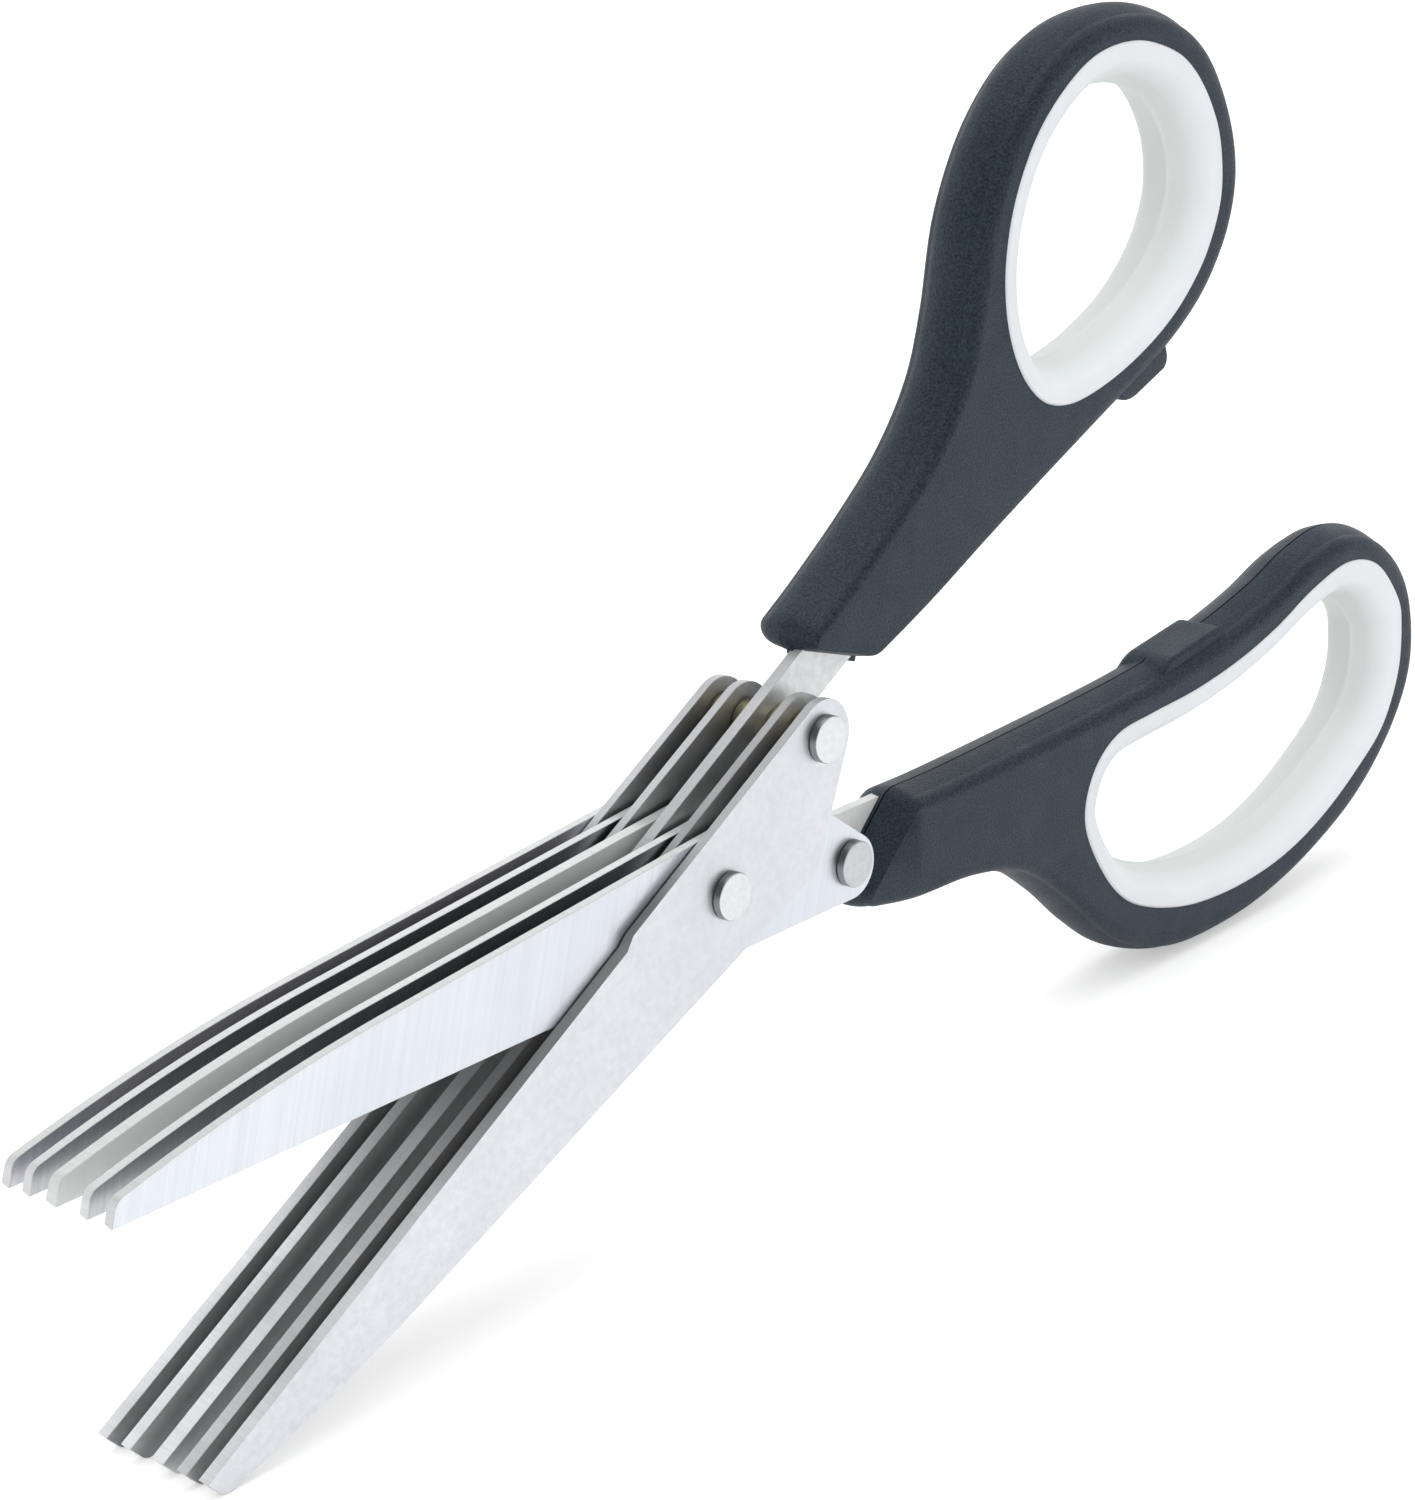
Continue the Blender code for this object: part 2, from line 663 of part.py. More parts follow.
def build_handle(label, half, facing, body_shares, loop_shares, reach, drop, stop_face, tang, depth):
    """A handle with its stop block and tang slot, and its liner."""
    outline = body_outline(body_shares, reach, drop, 0.0)
    loop = loop_outline(loop_shares, reach, drop)
    body = handle(f"{label}_handle", body_shares, reach, drop, loop, facing)
    block = stop_block(f"{label}_stop_form", outline, stop_face)
    slot = tang_slot(f"{label}_slot_form", tang, depth)
    cut_or_join(body, block, "UNION")
    cut_or_join(body, slot, "DIFFERENCE")
    for item in (body, block, liner(f"{label}_liner", loop, facing)):
        attach(item, half, 0, 0, 0)
    attach(slot, half, 0, depth, 0)
    return outline


def lowest(outline, tilt):
    """Lowest point of an outline in its half's frame once the half is tilted up by an angle."""
    return min(z * math.cos(tilt) + x * math.sin(tilt) for x, z in outline)


def standing_tilt(blade_points, handle_points):
    """Tilt of the finger half that puts the thumb blades' tips level with the finger handle."""
    flipped = [(x, -z) for x, z in blade_points]
    opening = math.radians(OPEN_ANGLE)
    low, high = -opening, opening
    for _ in range(POSE_STEPS):
        tilt = (low + high) / 2
        if lowest(flipped, tilt + opening) > lowest(handle_points, tilt):
            low = tilt
        else:
            high = tilt
    return tilt


def stand_on_floor(root):
    """Move the whole assembly so that its box stands on Z = 0, centred on the origin."""
    bpy.context.view_layer.update()
    corners = []
    for item in bpy.data.objects:
        if item.type == "MESH" and not item.hide_render:
            corners += [item.matrix_world @ vertex.co for vertex in item.data.vertices]
    lows = [min(corner[axis] for corner in corners) for axis in range(3)]
    highs = [max(corner[axis] for corner in corners) for axis in range(3)]
    root.location = (-(lows[0] + highs[0]) / 2, -(lows[1] + highs[1]) / 2, -lows[2])


def main():
    clear_scene()
    root = bpy.data.objects.new("herb_scissors", None)
    bpy.context.collection.objects.link(root)
    finger_half = half_empty("finger_half", root)
    thumb_half = half_empty("thumb_half", root)

    thumb_depths, finger_depths, grip = stack_layers()
    turned_depths = [-depth for depth in thumb_depths]
    finger = Half(FINGER_EDGE_DEPTH, FINGER_HEEL_RISE, FINGER_TAIL_RUN, FINGER_TAIL_END, FINGER_TAIL_RADIUS)
    thumb = Half(THUMB_EDGE_DEPTH, THUMB_HEEL_RISE, THUMB_TAIL_RUN, THUMB_TAIL_END, THUMB_TAIL_RADIUS)
    build_blades("finger", finger_half, finger_depths, finger)
    build_blades("thumb", thumb_half, turned_depths, thumb)
    build_tail("finger", finger_half, finger_depths, finger)
    build_tail("thumb", thumb_half, turned_depths, thumb)
    build_pivot(finger_half, finger_depths, grip)

    finger_outline = build_handle(
        "finger", finger_half, 1, FINGER_BODY_SHARES, FINGER_LOOP_SHARES, FINGER_REACH, FINGER_DROP,
        finger_stop_face(), finger.tang_outline(0.0), finger_depths[MIDDLE_PAIR])
    build_handle(
        "thumb", thumb_half, -1, THUMB_BODY_SHARES, THUMB_LOOP_SHARES, THUMB_REACH, THUMB_DROP,
        thumb_stop_face(), thumb.tang_outline(0.0), turned_depths[MIDDLE_PAIR])

    tilt = standing_tilt(thumb.plain_outline(0.0), finger_outline)
    finger_half.rotation_euler = (0, -tilt, 0)
    thumb_half.rotation_euler = (math.pi, -(tilt + math.radians(OPEN_ANGLE)), 0)
    stand_on_floor(root)


main()
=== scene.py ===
"""Herb scissors, dressed for a studio picture.

Every blade, rivet, ring, handle and liner of the frame gets a finer piece in its place, drawn in the
same half frames: pivot at the origin, blades along -X with the edge below, handle along +X. The thumb
half is turned over about its long axis.
"""

import json
import math

import bmesh
import bpy
from mathutils import Matrix, Vector


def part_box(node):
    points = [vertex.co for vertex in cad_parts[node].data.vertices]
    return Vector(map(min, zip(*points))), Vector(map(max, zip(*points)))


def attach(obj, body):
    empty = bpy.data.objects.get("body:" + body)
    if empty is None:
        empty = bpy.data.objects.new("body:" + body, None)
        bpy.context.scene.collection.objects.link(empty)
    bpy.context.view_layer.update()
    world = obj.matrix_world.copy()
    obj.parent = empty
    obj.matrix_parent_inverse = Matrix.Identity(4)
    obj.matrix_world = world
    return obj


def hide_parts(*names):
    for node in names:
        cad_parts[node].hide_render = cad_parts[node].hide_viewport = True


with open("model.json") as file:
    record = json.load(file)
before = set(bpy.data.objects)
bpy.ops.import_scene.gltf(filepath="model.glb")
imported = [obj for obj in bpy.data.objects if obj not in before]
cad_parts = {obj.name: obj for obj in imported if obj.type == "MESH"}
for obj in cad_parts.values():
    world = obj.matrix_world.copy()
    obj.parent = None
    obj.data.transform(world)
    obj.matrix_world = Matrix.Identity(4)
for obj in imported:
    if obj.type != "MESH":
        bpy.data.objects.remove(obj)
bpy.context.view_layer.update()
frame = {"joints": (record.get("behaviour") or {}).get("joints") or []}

MM = 0.001

# Blades
PAIRS = 5
MIDDLE = 3
BLADE_REACH = 69.8 * MM
BEVEL_WIDTH = 0.3 * MM
EDGE_START = 12.2 * MM
JOG_RUN = 1.3 * MM
TIP_END_DROP = 3.3 * MM
TIP_END_RAKE = 0.6 * MM
TIP_CORNER_RADIUS = 1.3 * MM
HEEL_RUN = 10.1 * MM
HEEL_RADIUS = 1.8 * MM
BACK_DEPTH = 6.3 * MM
TAIL_DROP = 2.7 * MM
CHAMFER = 0.04 * MM
TANG_INNER_DROP = 1.1 * MM
TANG_OUTER_DROP = 6.6 * MM
TANG_END = 48.0 * MM
TANG_FILLET_RADIUS = 1.5 * MM
TANG_CORNER_RADIUS = 1.4 * MM

# Rivets and rings
HEAD_RADIUS = 2.2 * MM
HEAD_THICKNESS = 0.75 * MM
HEAD_RIM = 0.16 * MM
HEAD_CROWN = 0.03 * MM
# Shares of a head's radius and crown, up to where its round rim starts
CROWN_PROFILE = ((0.05, 0.0), (0.6, 0.4))
TAIL_SHANK_RADIUS = 1.2 * MM
TAIL_RING_BORE = 1.25 * MM
PIVOT_SHANK_RADIUS = 1.5 * MM
PIVOT_RING_BORE = 1.55 * MM
PIVOT_RING_RADIUS = 2.6 * MM
RING_RIM = 0.12 * MM
RIM_STEPS = 4

# Handles and liners
HANDLE_FRONT = 3.95 * MM
HANDLE_REAR = 3.65 * MM
WALL_CROWN = 1.0 * MM
INNER_DRAFT = 0.45
BORE_CLEARANCE = 0.02 * MM
FRONT_EDGE_DEPTH = 1.4 * MM
FRONT_EDGE_WIDTH = 2.2 * MM
REAR_EDGE_RADIUS = 2.0 * MM
NECK_START = 22.2 * MM
NECK_CORNER_RADIUS = 1.9 * MM
NECK_SLANT = 0.6 * MM
# Shares of a half's drop: where a wall starts to face the other handle, over how much it
# turns there, and where its top starts
INNER_FROM = -0.28
INNER_BLEND = 0.12
TOP_FROM = -0.2
NECK_SOFTNESS = 0.45
REAR_SOFTNESS = 0.65
TAB_WIDTH = 0.55 * MM
TAB_HEIGHT = 0.22 * MM
TAB_DEPTH = 0.8 * MM
TAB_OVERLAP = 0.3 * MM
TAB_ROOT = 1.5 * MM
TAB_EDGE = 0.1 * MM
PARTING_HALF_WIDTH = 0.09 * MM
PARTING_DEPTH = 0.13 * MM
LINER_PROUD = 0.15 * MM
LINER_FRONT_RIM = 1.5 * MM
LINER_REAR_RIM = 2.5 * MM
LINER_BULGE = 4.0 * MM
LINER_OUTER_EDGE = 0.17 * MM
LINER_RIDGE = 0.12 * MM
LINER_SLOPE = 0.64
LINER_EASING = 12

# Stop blocks
STOP_HALF_WIDTH = 3.0 * MM
STOP_FRONT_EDGE = 0.5 * MM
STOP_REAR_EDGE = 1.2 * MM
STOP_END_RAMP = 1.2 * MM
STOP_NECK_RAMP = 2.6 * MM
STOP_ROUNDING = 1.5 * MM
STOP_SIDE_DRAFT = 0.01 * MM

# Faces whose normal is less along Y than this count as a blade's side or a rivet's rim
SIDE_FACING = 0.9
RIM_FACING = 0.6

CIRCLE_SIDES = 96
ARC_STEPS = 12
CURVE_STEPS = 10
FRONT_EDGE_STEPS = 12
FRONT_WALL_STEPS = 8
REAR_WALL_STEPS = 7
REAR_EDGE_STEPS = 14
LINER_STEPS = 14

# The values that noise mostly has, and a narrower span for sharper grain
NOISE_SPAN = (0.3, 0.7)
FINE_SPAN = (0.35, 0.65)
# Noise scales per metre, bump depths and how far light spreads in the liners
STEEL_CLOUDS = 110.0
SCRATCH_DEPTH = 0.02 * MM
PLASTIC_GRAIN = 4300.0
PLASTIC_CLOUDS = 300.0
PLASTIC_DEPTH = 0.10 * MM
RUBBER_GRAIN = 3600.0
RUBBER_CLOUDS = 160.0
RUBBER_DEPTH = 0.04 * MM
RUBBER_SCATTER = 1.2 * MM
# Depths between which the liners change their tone, darker deeper in the bore as painted shade
RIM_TO_SHADED_BORE = (-3.9 * MM, -1.6 * MM)
BORE_TO_SHADED_REAR = (-0.05 * MM, 0.25 * MM)

# The camera in the finger half's frame
CAMERA_RIGHT = (0.6498, -0.7595, -0.0302)
CAMERA_ABOVE = (0.2574, 0.1825, 0.9489)
CAMERA_PLACE = (-219.01 * MM, -196.19 * MM, 109.18 * MM)
# The floor, and how much it glows in reflections and as the camera sees it
FLOOR_REACH = 6.0
PAPER_FIBRES = 700.0
PAPER_DARK = (0.80, 0.80, 0.80)
PAPER_LIGHT = (0.82, 0.82, 0.82)
FLOOR_GLOW = (0.20, 0.40)
# Changes in the surroundings by height and by side: where each starts and ends, and its values
SKY_DIMMING = (0.47, 0.68, 1.0, 0.42)
SKY_TOP = (0.84, 0.92, 0.0, 1.2)
SIDE_BALANCE = (-0.5, 0.3, 0.86, 1.2)
# Dim patches: direction, cosines at their rim and core, and the share left at the core
PATCH_BEHIND = ((-0.68, -0.60, 0.42), 0.45, 0.92, 0.12)
PATCH_BESIDE = ((0.70, -0.62, 0.36), 0.76, 0.95, 0.35)

FINGER = {
    "label": "finger", "body": "finger_half", "facing": 1, "tail_run": 18.45 * MM,
    "edge_depth": 5.4 * MM, "heel_rise": 6.8 * MM, "tail_end": 21.8 * MM, "tail_radius": 3.1 * MM,
    "reach": 125.6 * MM, "drop": 29.9 * MM,
    "spine_bend": (-40.0 * MM, 1.93 * MM), "neck_radii": (2.7 * MM, 3.2 * MM),
    "neck_shift": 0.0, "spacer_radius": 2.0 * MM,
    "set_back": {3: 0.45 * MM, 4: 0.4 * MM},
    "fronts": ("face", "inner", "middle", "inner", "tinted"),
    "painted_side_shades": (0.92, 1.0, 1.0, 1.0, 0.98),
    "stop": ((76.6 * MM, 2.1 * MM), (84.8 * MM, 3.2 * MM)),
    "swell": ((117.0 * MM, 1.5 * MM), 10.0 * MM, 0.9 * MM),
    "body_shares": (
        (-0.005, -0.325), (0.09, -0.38), (0.18, -0.40), (0.26, -0.47), (0.325, -0.62),
        (0.385, -0.80), (0.44, -0.93), (0.52, -1.025), (0.61, -1.045), (0.70, -1.02),
        (0.795, -0.94), (0.887, -0.805), (0.96, -0.60), (0.998, -0.37), (0.996, -0.12),
        (0.967, 0.075), (0.91, 0.225), (0.84, 0.285), (0.77, 0.25), (0.70, 0.17),
        (0.61, 0.10), (0.50, 0.045), (0.38, 0.018), (0.26, 0.0), (0.16, -0.012), (0.09, -0.012),
    ),
    "loop_shares": (
        (0.84, 0.165), (0.77, 0.12), (0.70, 0.035), (0.63, -0.025), (0.55, -0.065),
        (0.47, -0.08), (0.41, -0.10), (0.37, -0.19), (0.353, -0.34), (0.37, -0.50),
        (0.41, -0.675), (0.46, -0.78), (0.54, -0.86), (0.63, -0.885), (0.72, -0.86),
        (0.80, -0.78), (0.87, -0.66), (0.92, -0.54), (0.95, -0.36), (0.955, -0.18),
        (0.945, -0.05), (0.90, 0.11),
    ),
}
THUMB = {
    "label": "thumb", "body": "thumb_half", "facing": -1, "tail_run": 17.2 * MM,
    "edge_depth": 5.95 * MM, "heel_rise": 7.3 * MM, "tail_end": 20.8 * MM, "tail_radius": 3.6 * MM,
    "reach": 103.4 * MM, "drop": 31.6 * MM,
    "spine_bend": (-46.0 * MM, 0.9 * MM), "neck_radii": (4.0 * MM, 4.2 * MM),
    "neck_shift": 0.45 * MM, "spacer_radius": 2.2 * MM,
    "set_back": {2: -0.3 * MM, 3: -0.45 * MM},
    "fronts": ("face", "inner", "middle", "inner", "inner"),
    "painted_side_shades": (0.80, 0.68, 0.92, 1.0, 1.0),
    "stop": ((75.6 * MM, 6.8 * MM), (80.4 * MM, 7.58 * MM)),
    "swell": ((97.0 * MM, -17.0 * MM), 9.0 * MM, 0.15 * MM),
    "body_shares": (
        (-0.01, -0.285), (0.10, -0.30), (0.20, -0.327), (0.287, -0.37), (0.367, -0.457),
        (0.427, -0.588), (0.496, -0.78), (0.57, -0.91), (0.64, -0.98), (0.71, -1.005),
        (0.78, -0.98), (0.85, -0.905), (0.91, -0.80), (0.958, -0.665), (0.986, -0.517),
        (0.994, -0.355), (0.988, -0.19), (0.967, -0.05), (0.93, 0.058), (0.883, 0.132),
        (0.82, 0.185), (0.74, 0.20), (0.65, 0.18), (0.55, 0.15), (0.44, 0.117),
        (0.32, 0.084), (0.20, 0.055), (0.10, 0.02),
    ),
    "loop_shares": (
        (0.905, -0.64), (0.93, -0.52), (0.94, -0.38), (0.935, -0.24), (0.905, -0.085),
        (0.85, 0.02), (0.79, 0.07), (0.73, 0.085), (0.66, 0.07), (0.59, 0.03),
        (0.53, -0.03), (0.49, -0.115), (0.47, -0.23), (0.467, -0.36), (0.48, -0.50),
        (0.51, -0.635), (0.56, -0.76), (0.63, -0.855), (0.71, -0.89), (0.78, -0.87),
        (0.85, -0.78),
    ),
}

pivot = Vector(frame["joints"][0]["pos_m"])


# Outlines in the X-Z plane

def arc(center, radius, start, end, steps):
    angles = [start + (end - start) * i / steps for i in range(steps + 1)]
    return [(center[0] + radius * math.cos(a), center[1] + radius * math.sin(a)) for a in angles]


def circle(center, radius):
    return arc(center, radius, 0.0, 2.0 * math.pi, CIRCLE_SIDES)[:-1]


def curve(start, control, end, steps):
    points = []
    for i in range(steps + 1):
        t = i / steps
        points.append(tuple((1 - t) ** 2 * a + 2 * t * (1 - t) * b + t * t * c
                            for a, b, c in zip(start, control, end)))
    return points


def unit(a, b):
    length = math.hypot(b[0] - a[0], b[1] - a[1])
    return ((b[0] - a[0]) / length, (b[1] - a[1]) / length)


def rounded(before, corner, after, radius, steps=ARC_STEPS):
    """The arc that rounds a corner between two straight runs."""
    back = unit(corner, before)
    ahead = unit(corner, after)
    half = math.acos(max(-1.0, min(1.0, back[0] * ahead[0] + back[1] * ahead[1]))) / 2
    reach = radius / math.tan(half)
    middle = unit((0, 0), (back[0] + ahead[0], back[1] + ahead[1]))
    to_center = radius / math.sin(half)
    center = (corner[0] + middle[0] * to_center, corner[1] + middle[1] * to_center)
    first = (corner[0] + back[0] * reach, corner[1] + back[1] * reach)
    last = (corner[0] + ahead[0] * reach, corner[1] + ahead[1] * reach)
    start = math.atan2(first[1] - center[1], first[0] - center[0])
    turn = math.atan2(last[1] - center[1], last[0] - center[0]) - start
    turn = (turn + math.pi) % (2 * math.pi) - math.pi
    return arc(center, radius, start, start + turn, steps)


def spline(points, closed, steps):
    """A smooth curve through all the points."""
    count = len(points)
    result = []
    for i in range(count if closed else count - 1):
        near = [points[(i + k) % count] if closed else points[max(0, min(count - 1, i + k))]
                for k in (-1, 0, 1, 2)]
        for j in range(steps):
            t = j / steps
            weights = (
                -0.5 * t + t * t - 0.5 * t ** 3,
                1 - 2.5 * t * t + 1.5 * t ** 3,
                0.5 * t + 2 * t * t - 1.5 * t ** 3,
                -0.5 * t * t + 0.5 * t ** 3,
            )
            result.append(tuple(sum(w * p[axis] for w, p in zip(weights, near)) for axis in (0, 1)))
    if not closed:
        result.append(points[-1])
    return result


def normals(outline):
    """Inward directions at the points of a counter-clockwise outline, with their mitre stretch."""
    count = len(outline)
    result = []
    for i in range(count):
        before = unit(outline[i - 1], outline[i])
        after = unit(outline[i], outline[(i + 1) % count])
        normal = unit((0, 0), (-before[1] - after[1], before[0] + after[0]))
        stretch = 1.0 / max(0.5, normal[0] * -before[1] + normal[1] * before[0])
        result.append((normal[0] * stretch, normal[1] * stretch))
    return result


def inset_by(outline, distances):
    return [(p[0] + n[0] * d, p[1] + n[1] * d)
            for p, n, d in zip(outline, normals(outline), distances)]


def inset(outline, distance):
    return inset_by(outline, [distance] * len(outline))


def eased(outline, passes):
    """A closed outline with its tightest turns evened out."""
    for _ in range(passes):
        before = outline[-1:] + outline[:-1]
        after = outline[1:] + outline[:1]
        outline = [tuple((a + 2 * b + c) / 4 for a, b, c in zip(*points))
                   for points in zip(before, outline, after)]
    return outline


def moved_along(before, corner, beside, shift):
    """A corner moved along its wall until the end line from it to the corner beside has shifted."""
    wall = unit(before, corner)
    end = unit(corner, beside)
    run = shift / abs(wall[0] * end[1] - wall[1] * end[0])
    return (corner[0] + wall[0] * run, corner[1] + wall[1] * run)


def placed(shares, half):
    return [(NECK_START + along * (half["reach"] - NECK_START), across * half["drop"])
            for along, across in shares]


# Meshes

def ring_of(mesh, outline, depth):
    vertices = [mesh.verts.new((x, depth, z)) for x, z in outline]
    edges = [mesh.edges.new((vertices[i - 1], vertices[i])) for i in range(len(vertices))]
    return vertices, edges


def join_rings(mesh, first, second):
    for i in range(len(first)):
        mesh.faces.new((first[i - 1], first[i], second[i], second[i - 1]))


def cap(mesh, edges):
    bmesh.ops.triangle_fill(mesh, use_beauty=True, edges=edges)


def piece_from(name, mesh, half, degrees, material, slot, *nodes):
    """A closed mesh as a piece of one half, in place of CAD nodes."""
    bmesh.ops.recalc_face_normals(mesh, faces=mesh.faces)
    mesh.transform(half["matrix"])
    data = bpy.data.meshes.new(name)
    mesh.to_mesh(data)
    mesh.free()
    item = bpy.data.objects.new(name, data)
    bpy.context.scene.collection.objects.link(item)
    data.shade_smooth()
    data.set_sharp_from_angle(angle=math.radians(degrees))
    data.materials.append(material)
    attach(item, half["body"])
    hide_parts(*nodes)
    return item


def depths_of(node, half, front_shift=0.0, rear_shift=0.0):
    """Depth range of a CAD node in its half's frame, with its front and rear moved a little."""
    low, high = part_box(node)
    front = half["facing"] * (low.y - pivot.y + front_shift)
    rear = half["facing"] * (high.y - pivot.y + rear_shift)
    return min(front, rear), max(front, rear)


def set_back(half, index):
    """How far one blade of a half lies behind its place in the frame."""
    return half["set_back"].get(index, 0.0)


def half_matrix(half):
    """Where a half's frame lies, from its tail rivet and the pivot."""
    low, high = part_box(half["label"] + "_tail_rivet")
    reach = (low + high) / 2 - pivot
    drawn = math.atan2(-TAIL_DROP * half["facing"], half["tail_run"])
    turn = math.atan2(reach.z, reach.x) - drawn
    matrix = Matrix.Translation(pivot) @ Matrix.Rotation(-turn, 4, "Y")
    if half["facing"] < 0:
        matrix = matrix @ Matrix.Rotation(math.pi, 4, "X")
    return matrix


# Materials

def new_material(name):
    material = bpy.data.materials.new(name)
    material.use_nodes = True
    tree = material.node_tree
    return material, tree, tree.nodes["Principled BSDF"]


def drawn_place(tree, half):
    """Places in a half's own frame, or in the part's frame without a half."""
    coords = tree.nodes.new("ShaderNodeTexCoord").outputs["Object"]
    if not half:
        return coords
    drawn = tree.nodes.new("ShaderNodeMapping")
    drawn.vector_type = "TEXTURE"
    drawn.inputs["Location"].default_value = half["matrix"].translation
    drawn.inputs["Rotation"].default_value = half["matrix"].to_euler()
    tree.links.new(coords, drawn.inputs["Vector"])
    return drawn.outputs["Vector"]


def stretched_noise(tree, scale, half=None, turn=0.0, detail=2.0, roughness=0.5):
    """Noise in a half's own frame, stretched by a scale per axis after a turn about Y."""
    coords = drawn_place(tree, half)
    turning = tree.nodes.new("ShaderNodeMapping")
    turning.inputs["Rotation"].default_value = (0.0, turn, 0.0)
    stretch = tree.nodes.new("ShaderNodeMapping")
    stretch.inputs["Scale"].default_value = scale
    noise = tree.nodes.new("ShaderNodeTexNoise")
    noise.inputs["Scale"].default_value = 1.0
    noise.inputs["Detail"].default_value = detail
    noise.inputs["Roughness"].default_value = roughness
    tree.links.new(coords, turning.inputs["Vector"])
    tree.links.new(turning.outputs["Vector"], stretch.inputs["Vector"])
    tree.links.new(stretch.outputs["Vector"], noise.inputs["Vector"])
    return noise.outputs["Fac"]


def ranged(tree, value, low, high, to_low, to_high):
    node = tree.nodes.new("ShaderNodeMapRange")
    node.inputs["From Min"].default_value = low
    node.inputs["From Max"].default_value = high
    node.inputs["To Min"].default_value = to_low
    node.inputs["To Max"].default_value = to_high
    tree.links.new(value, node.inputs["Value"])
    return node.outputs["Result"]


def spread(tree, noise, to_low, to_high):
    """Noise, from the values that it mostly has to a range."""
    return ranged(tree, noise, *NOISE_SPAN, to_low, to_high)


def combined(tree, operation, a, b, clamped=False):
    node = tree.nodes.new("ShaderNodeMath")
    node.operation = operation
    node.use_clamp = clamped
    tree.links.new(a, node.inputs[0])
    tree.links.new(b, node.inputs[1])
    return node.outputs["Value"]


def tinted(tree, dark, light, value):
    """A colour between two by a value."""
    node = tree.nodes.new("ShaderNodeMix")
    node.data_type = "RGBA"
    node.inputs["A"].default_value = (*dark, 1.0)
    node.inputs["B"].default_value = (*light, 1.0)
    tree.links.new(value, node.inputs["Factor"])
    return node.outputs["Result"]


def bumped(tree, shader, value, strength, distance):
    node = tree.nodes.new("ShaderNodeBump")
    node.inputs["Strength"].default_value = strength
    node.inputs["Distance"].default_value = distance
    tree.links.new(value, node.inputs["Height"])
    tree.links.new(node.outputs["Normal"], shader.inputs["Normal"])


def even(scale):
    return (scale, scale, scale)


def along_half(tree, half, axis):
    """The distance along one axis of a half, or of the part without a half, in metres."""
    split = tree.nodes.new("ShaderNodeSeparateXYZ")
    tree.links.new(drawn_place(tree, half), split.inputs["Vector"])
    return split.outputs[axis]


def brushed_steel(name, half, dark, light, roughness, grain, turn, strength,
                  metallic=1.0, least=0.25, painted_shade_fades=(), axis="X"):
    """Steel with fine scratches or mottling, slow clouds, and painted shade that darkens it from its
    light to its dark tone.

    Each painted shade fade gives the places along the axis where it starts and ends, and its shares
    there.
    """
    material, tree, shader = new_material(name)
    shader.inputs["Metallic"].default_value = metallic
    scratches = stretched_noise(tree, grain, half, turn, 3.0, 0.55)
    clouds = stretched_noise(tree, even(STEEL_CLOUDS))
    tone = combined(tree, "MULTIPLY", spread(tree, scratches, least, 1.0),
                    spread(tree, clouds, 0.7, 1.0))
    # Painted shade: the tone is darkened along the half where less light falls
    if painted_shade_fades:
        along = along_half(tree, half, axis)
        shares = [ranged(tree, along, *fade) for fade in painted_shade_fades]
        share = shares[0]
        for other in shares[1:]:
            share = combined(tree, "MAXIMUM", share, other)
        tone = combined(tree, "MULTIPLY", tone, share)
    tree.links.new(tinted(tree, dark, light, tone), shader.inputs["Base Color"])
    tree.links.new(spread(tree, scratches, roughness * 1.15, roughness * 0.9),
                   shader.inputs["Roughness"])
    bumped(tree, shader, scratches, strength, SCRATCH_DEPTH)
    return material


def moulded_plastic(name, dark, light, roughness):
    """Hard plastic from a finely sparked mould."""
    material, tree, shader = new_material(name)
    grain = stretched_noise(tree, even(PLASTIC_GRAIN), roughness=0.7)
    clouds = stretched_noise(tree, even(PLASTIC_CLOUDS), detail=3.0)
    tree.links.new(tinted(tree, dark, light, ranged(tree, grain, *FINE_SPAN, 0.0, 1.0)),
                   shader.inputs["Base Color"])
    tree.links.new(spread(tree, clouds, roughness * 0.92, roughness * 1.08),
                   shader.inputs["Roughness"])
    shader.inputs["Specular IOR Level"].default_value = 0.5
    shader.inputs["Specular Tint"].default_value = (0.78, 0.92, 1.0, 1.0)
    bumped(tree, shader, grain, 0.9, PLASTIC_DEPTH)
    return material


def soft_rubber(name, rear, inside, rim, roughness):
    """Pale, slightly translucent plastic with painted shade: whiter at its front rim, greyer deeper
    in the bore and behind the ridge.
    """
    material, tree, shader = new_material(name)
    clouds = stretched_noise(tree, even(RUBBER_CLOUDS), detail=3.0)
    grain = stretched_noise(tree, even(RUBBER_GRAIN))
    depth = along_half(tree, None, "Y")
    front = ranged(tree, depth, *RIM_TO_SHADED_BORE, 1.0, 0.0)
    cloudy = spread(tree, clouds, 0.8, 1.0)
    behind = ranged(tree, depth, *BORE_TO_SHADED_REAR, 0.0, 1.0)
    shaded_bore_tone = tinted(tree, inside, rear, behind)
    colour = tree.nodes.new("ShaderNodeMix")
    colour.data_type = "RGBA"
    tree.links.new(combined(tree, "MULTIPLY", front, cloudy), colour.inputs["Factor"])
    tree.links.new(shaded_bore_tone, colour.inputs["A"])
    colour.inputs["B"].default_value = (*rim, 1.0)
    tree.links.new(colour.outputs["Result"], shader.inputs["Base Color"])
    tree.links.new(spread(tree, grain, roughness * 0.9, roughness * 1.1),
                   shader.inputs["Roughness"])
    shader.inputs["Subsurface Weight"].default_value = 0.3
    shader.inputs["Subsurface Radius"].default_value = (1.0, 1.0, 0.95)
    shader.inputs["Subsurface Scale"].default_value = RUBBER_SCATTER
    bumped(tree, shader, grain, 0.12, RUBBER_DEPTH)
    return material


def toned(colour, tone):
    """A colour made darker or lighter by a factor."""
    return tuple(channel * tone for channel in colour)


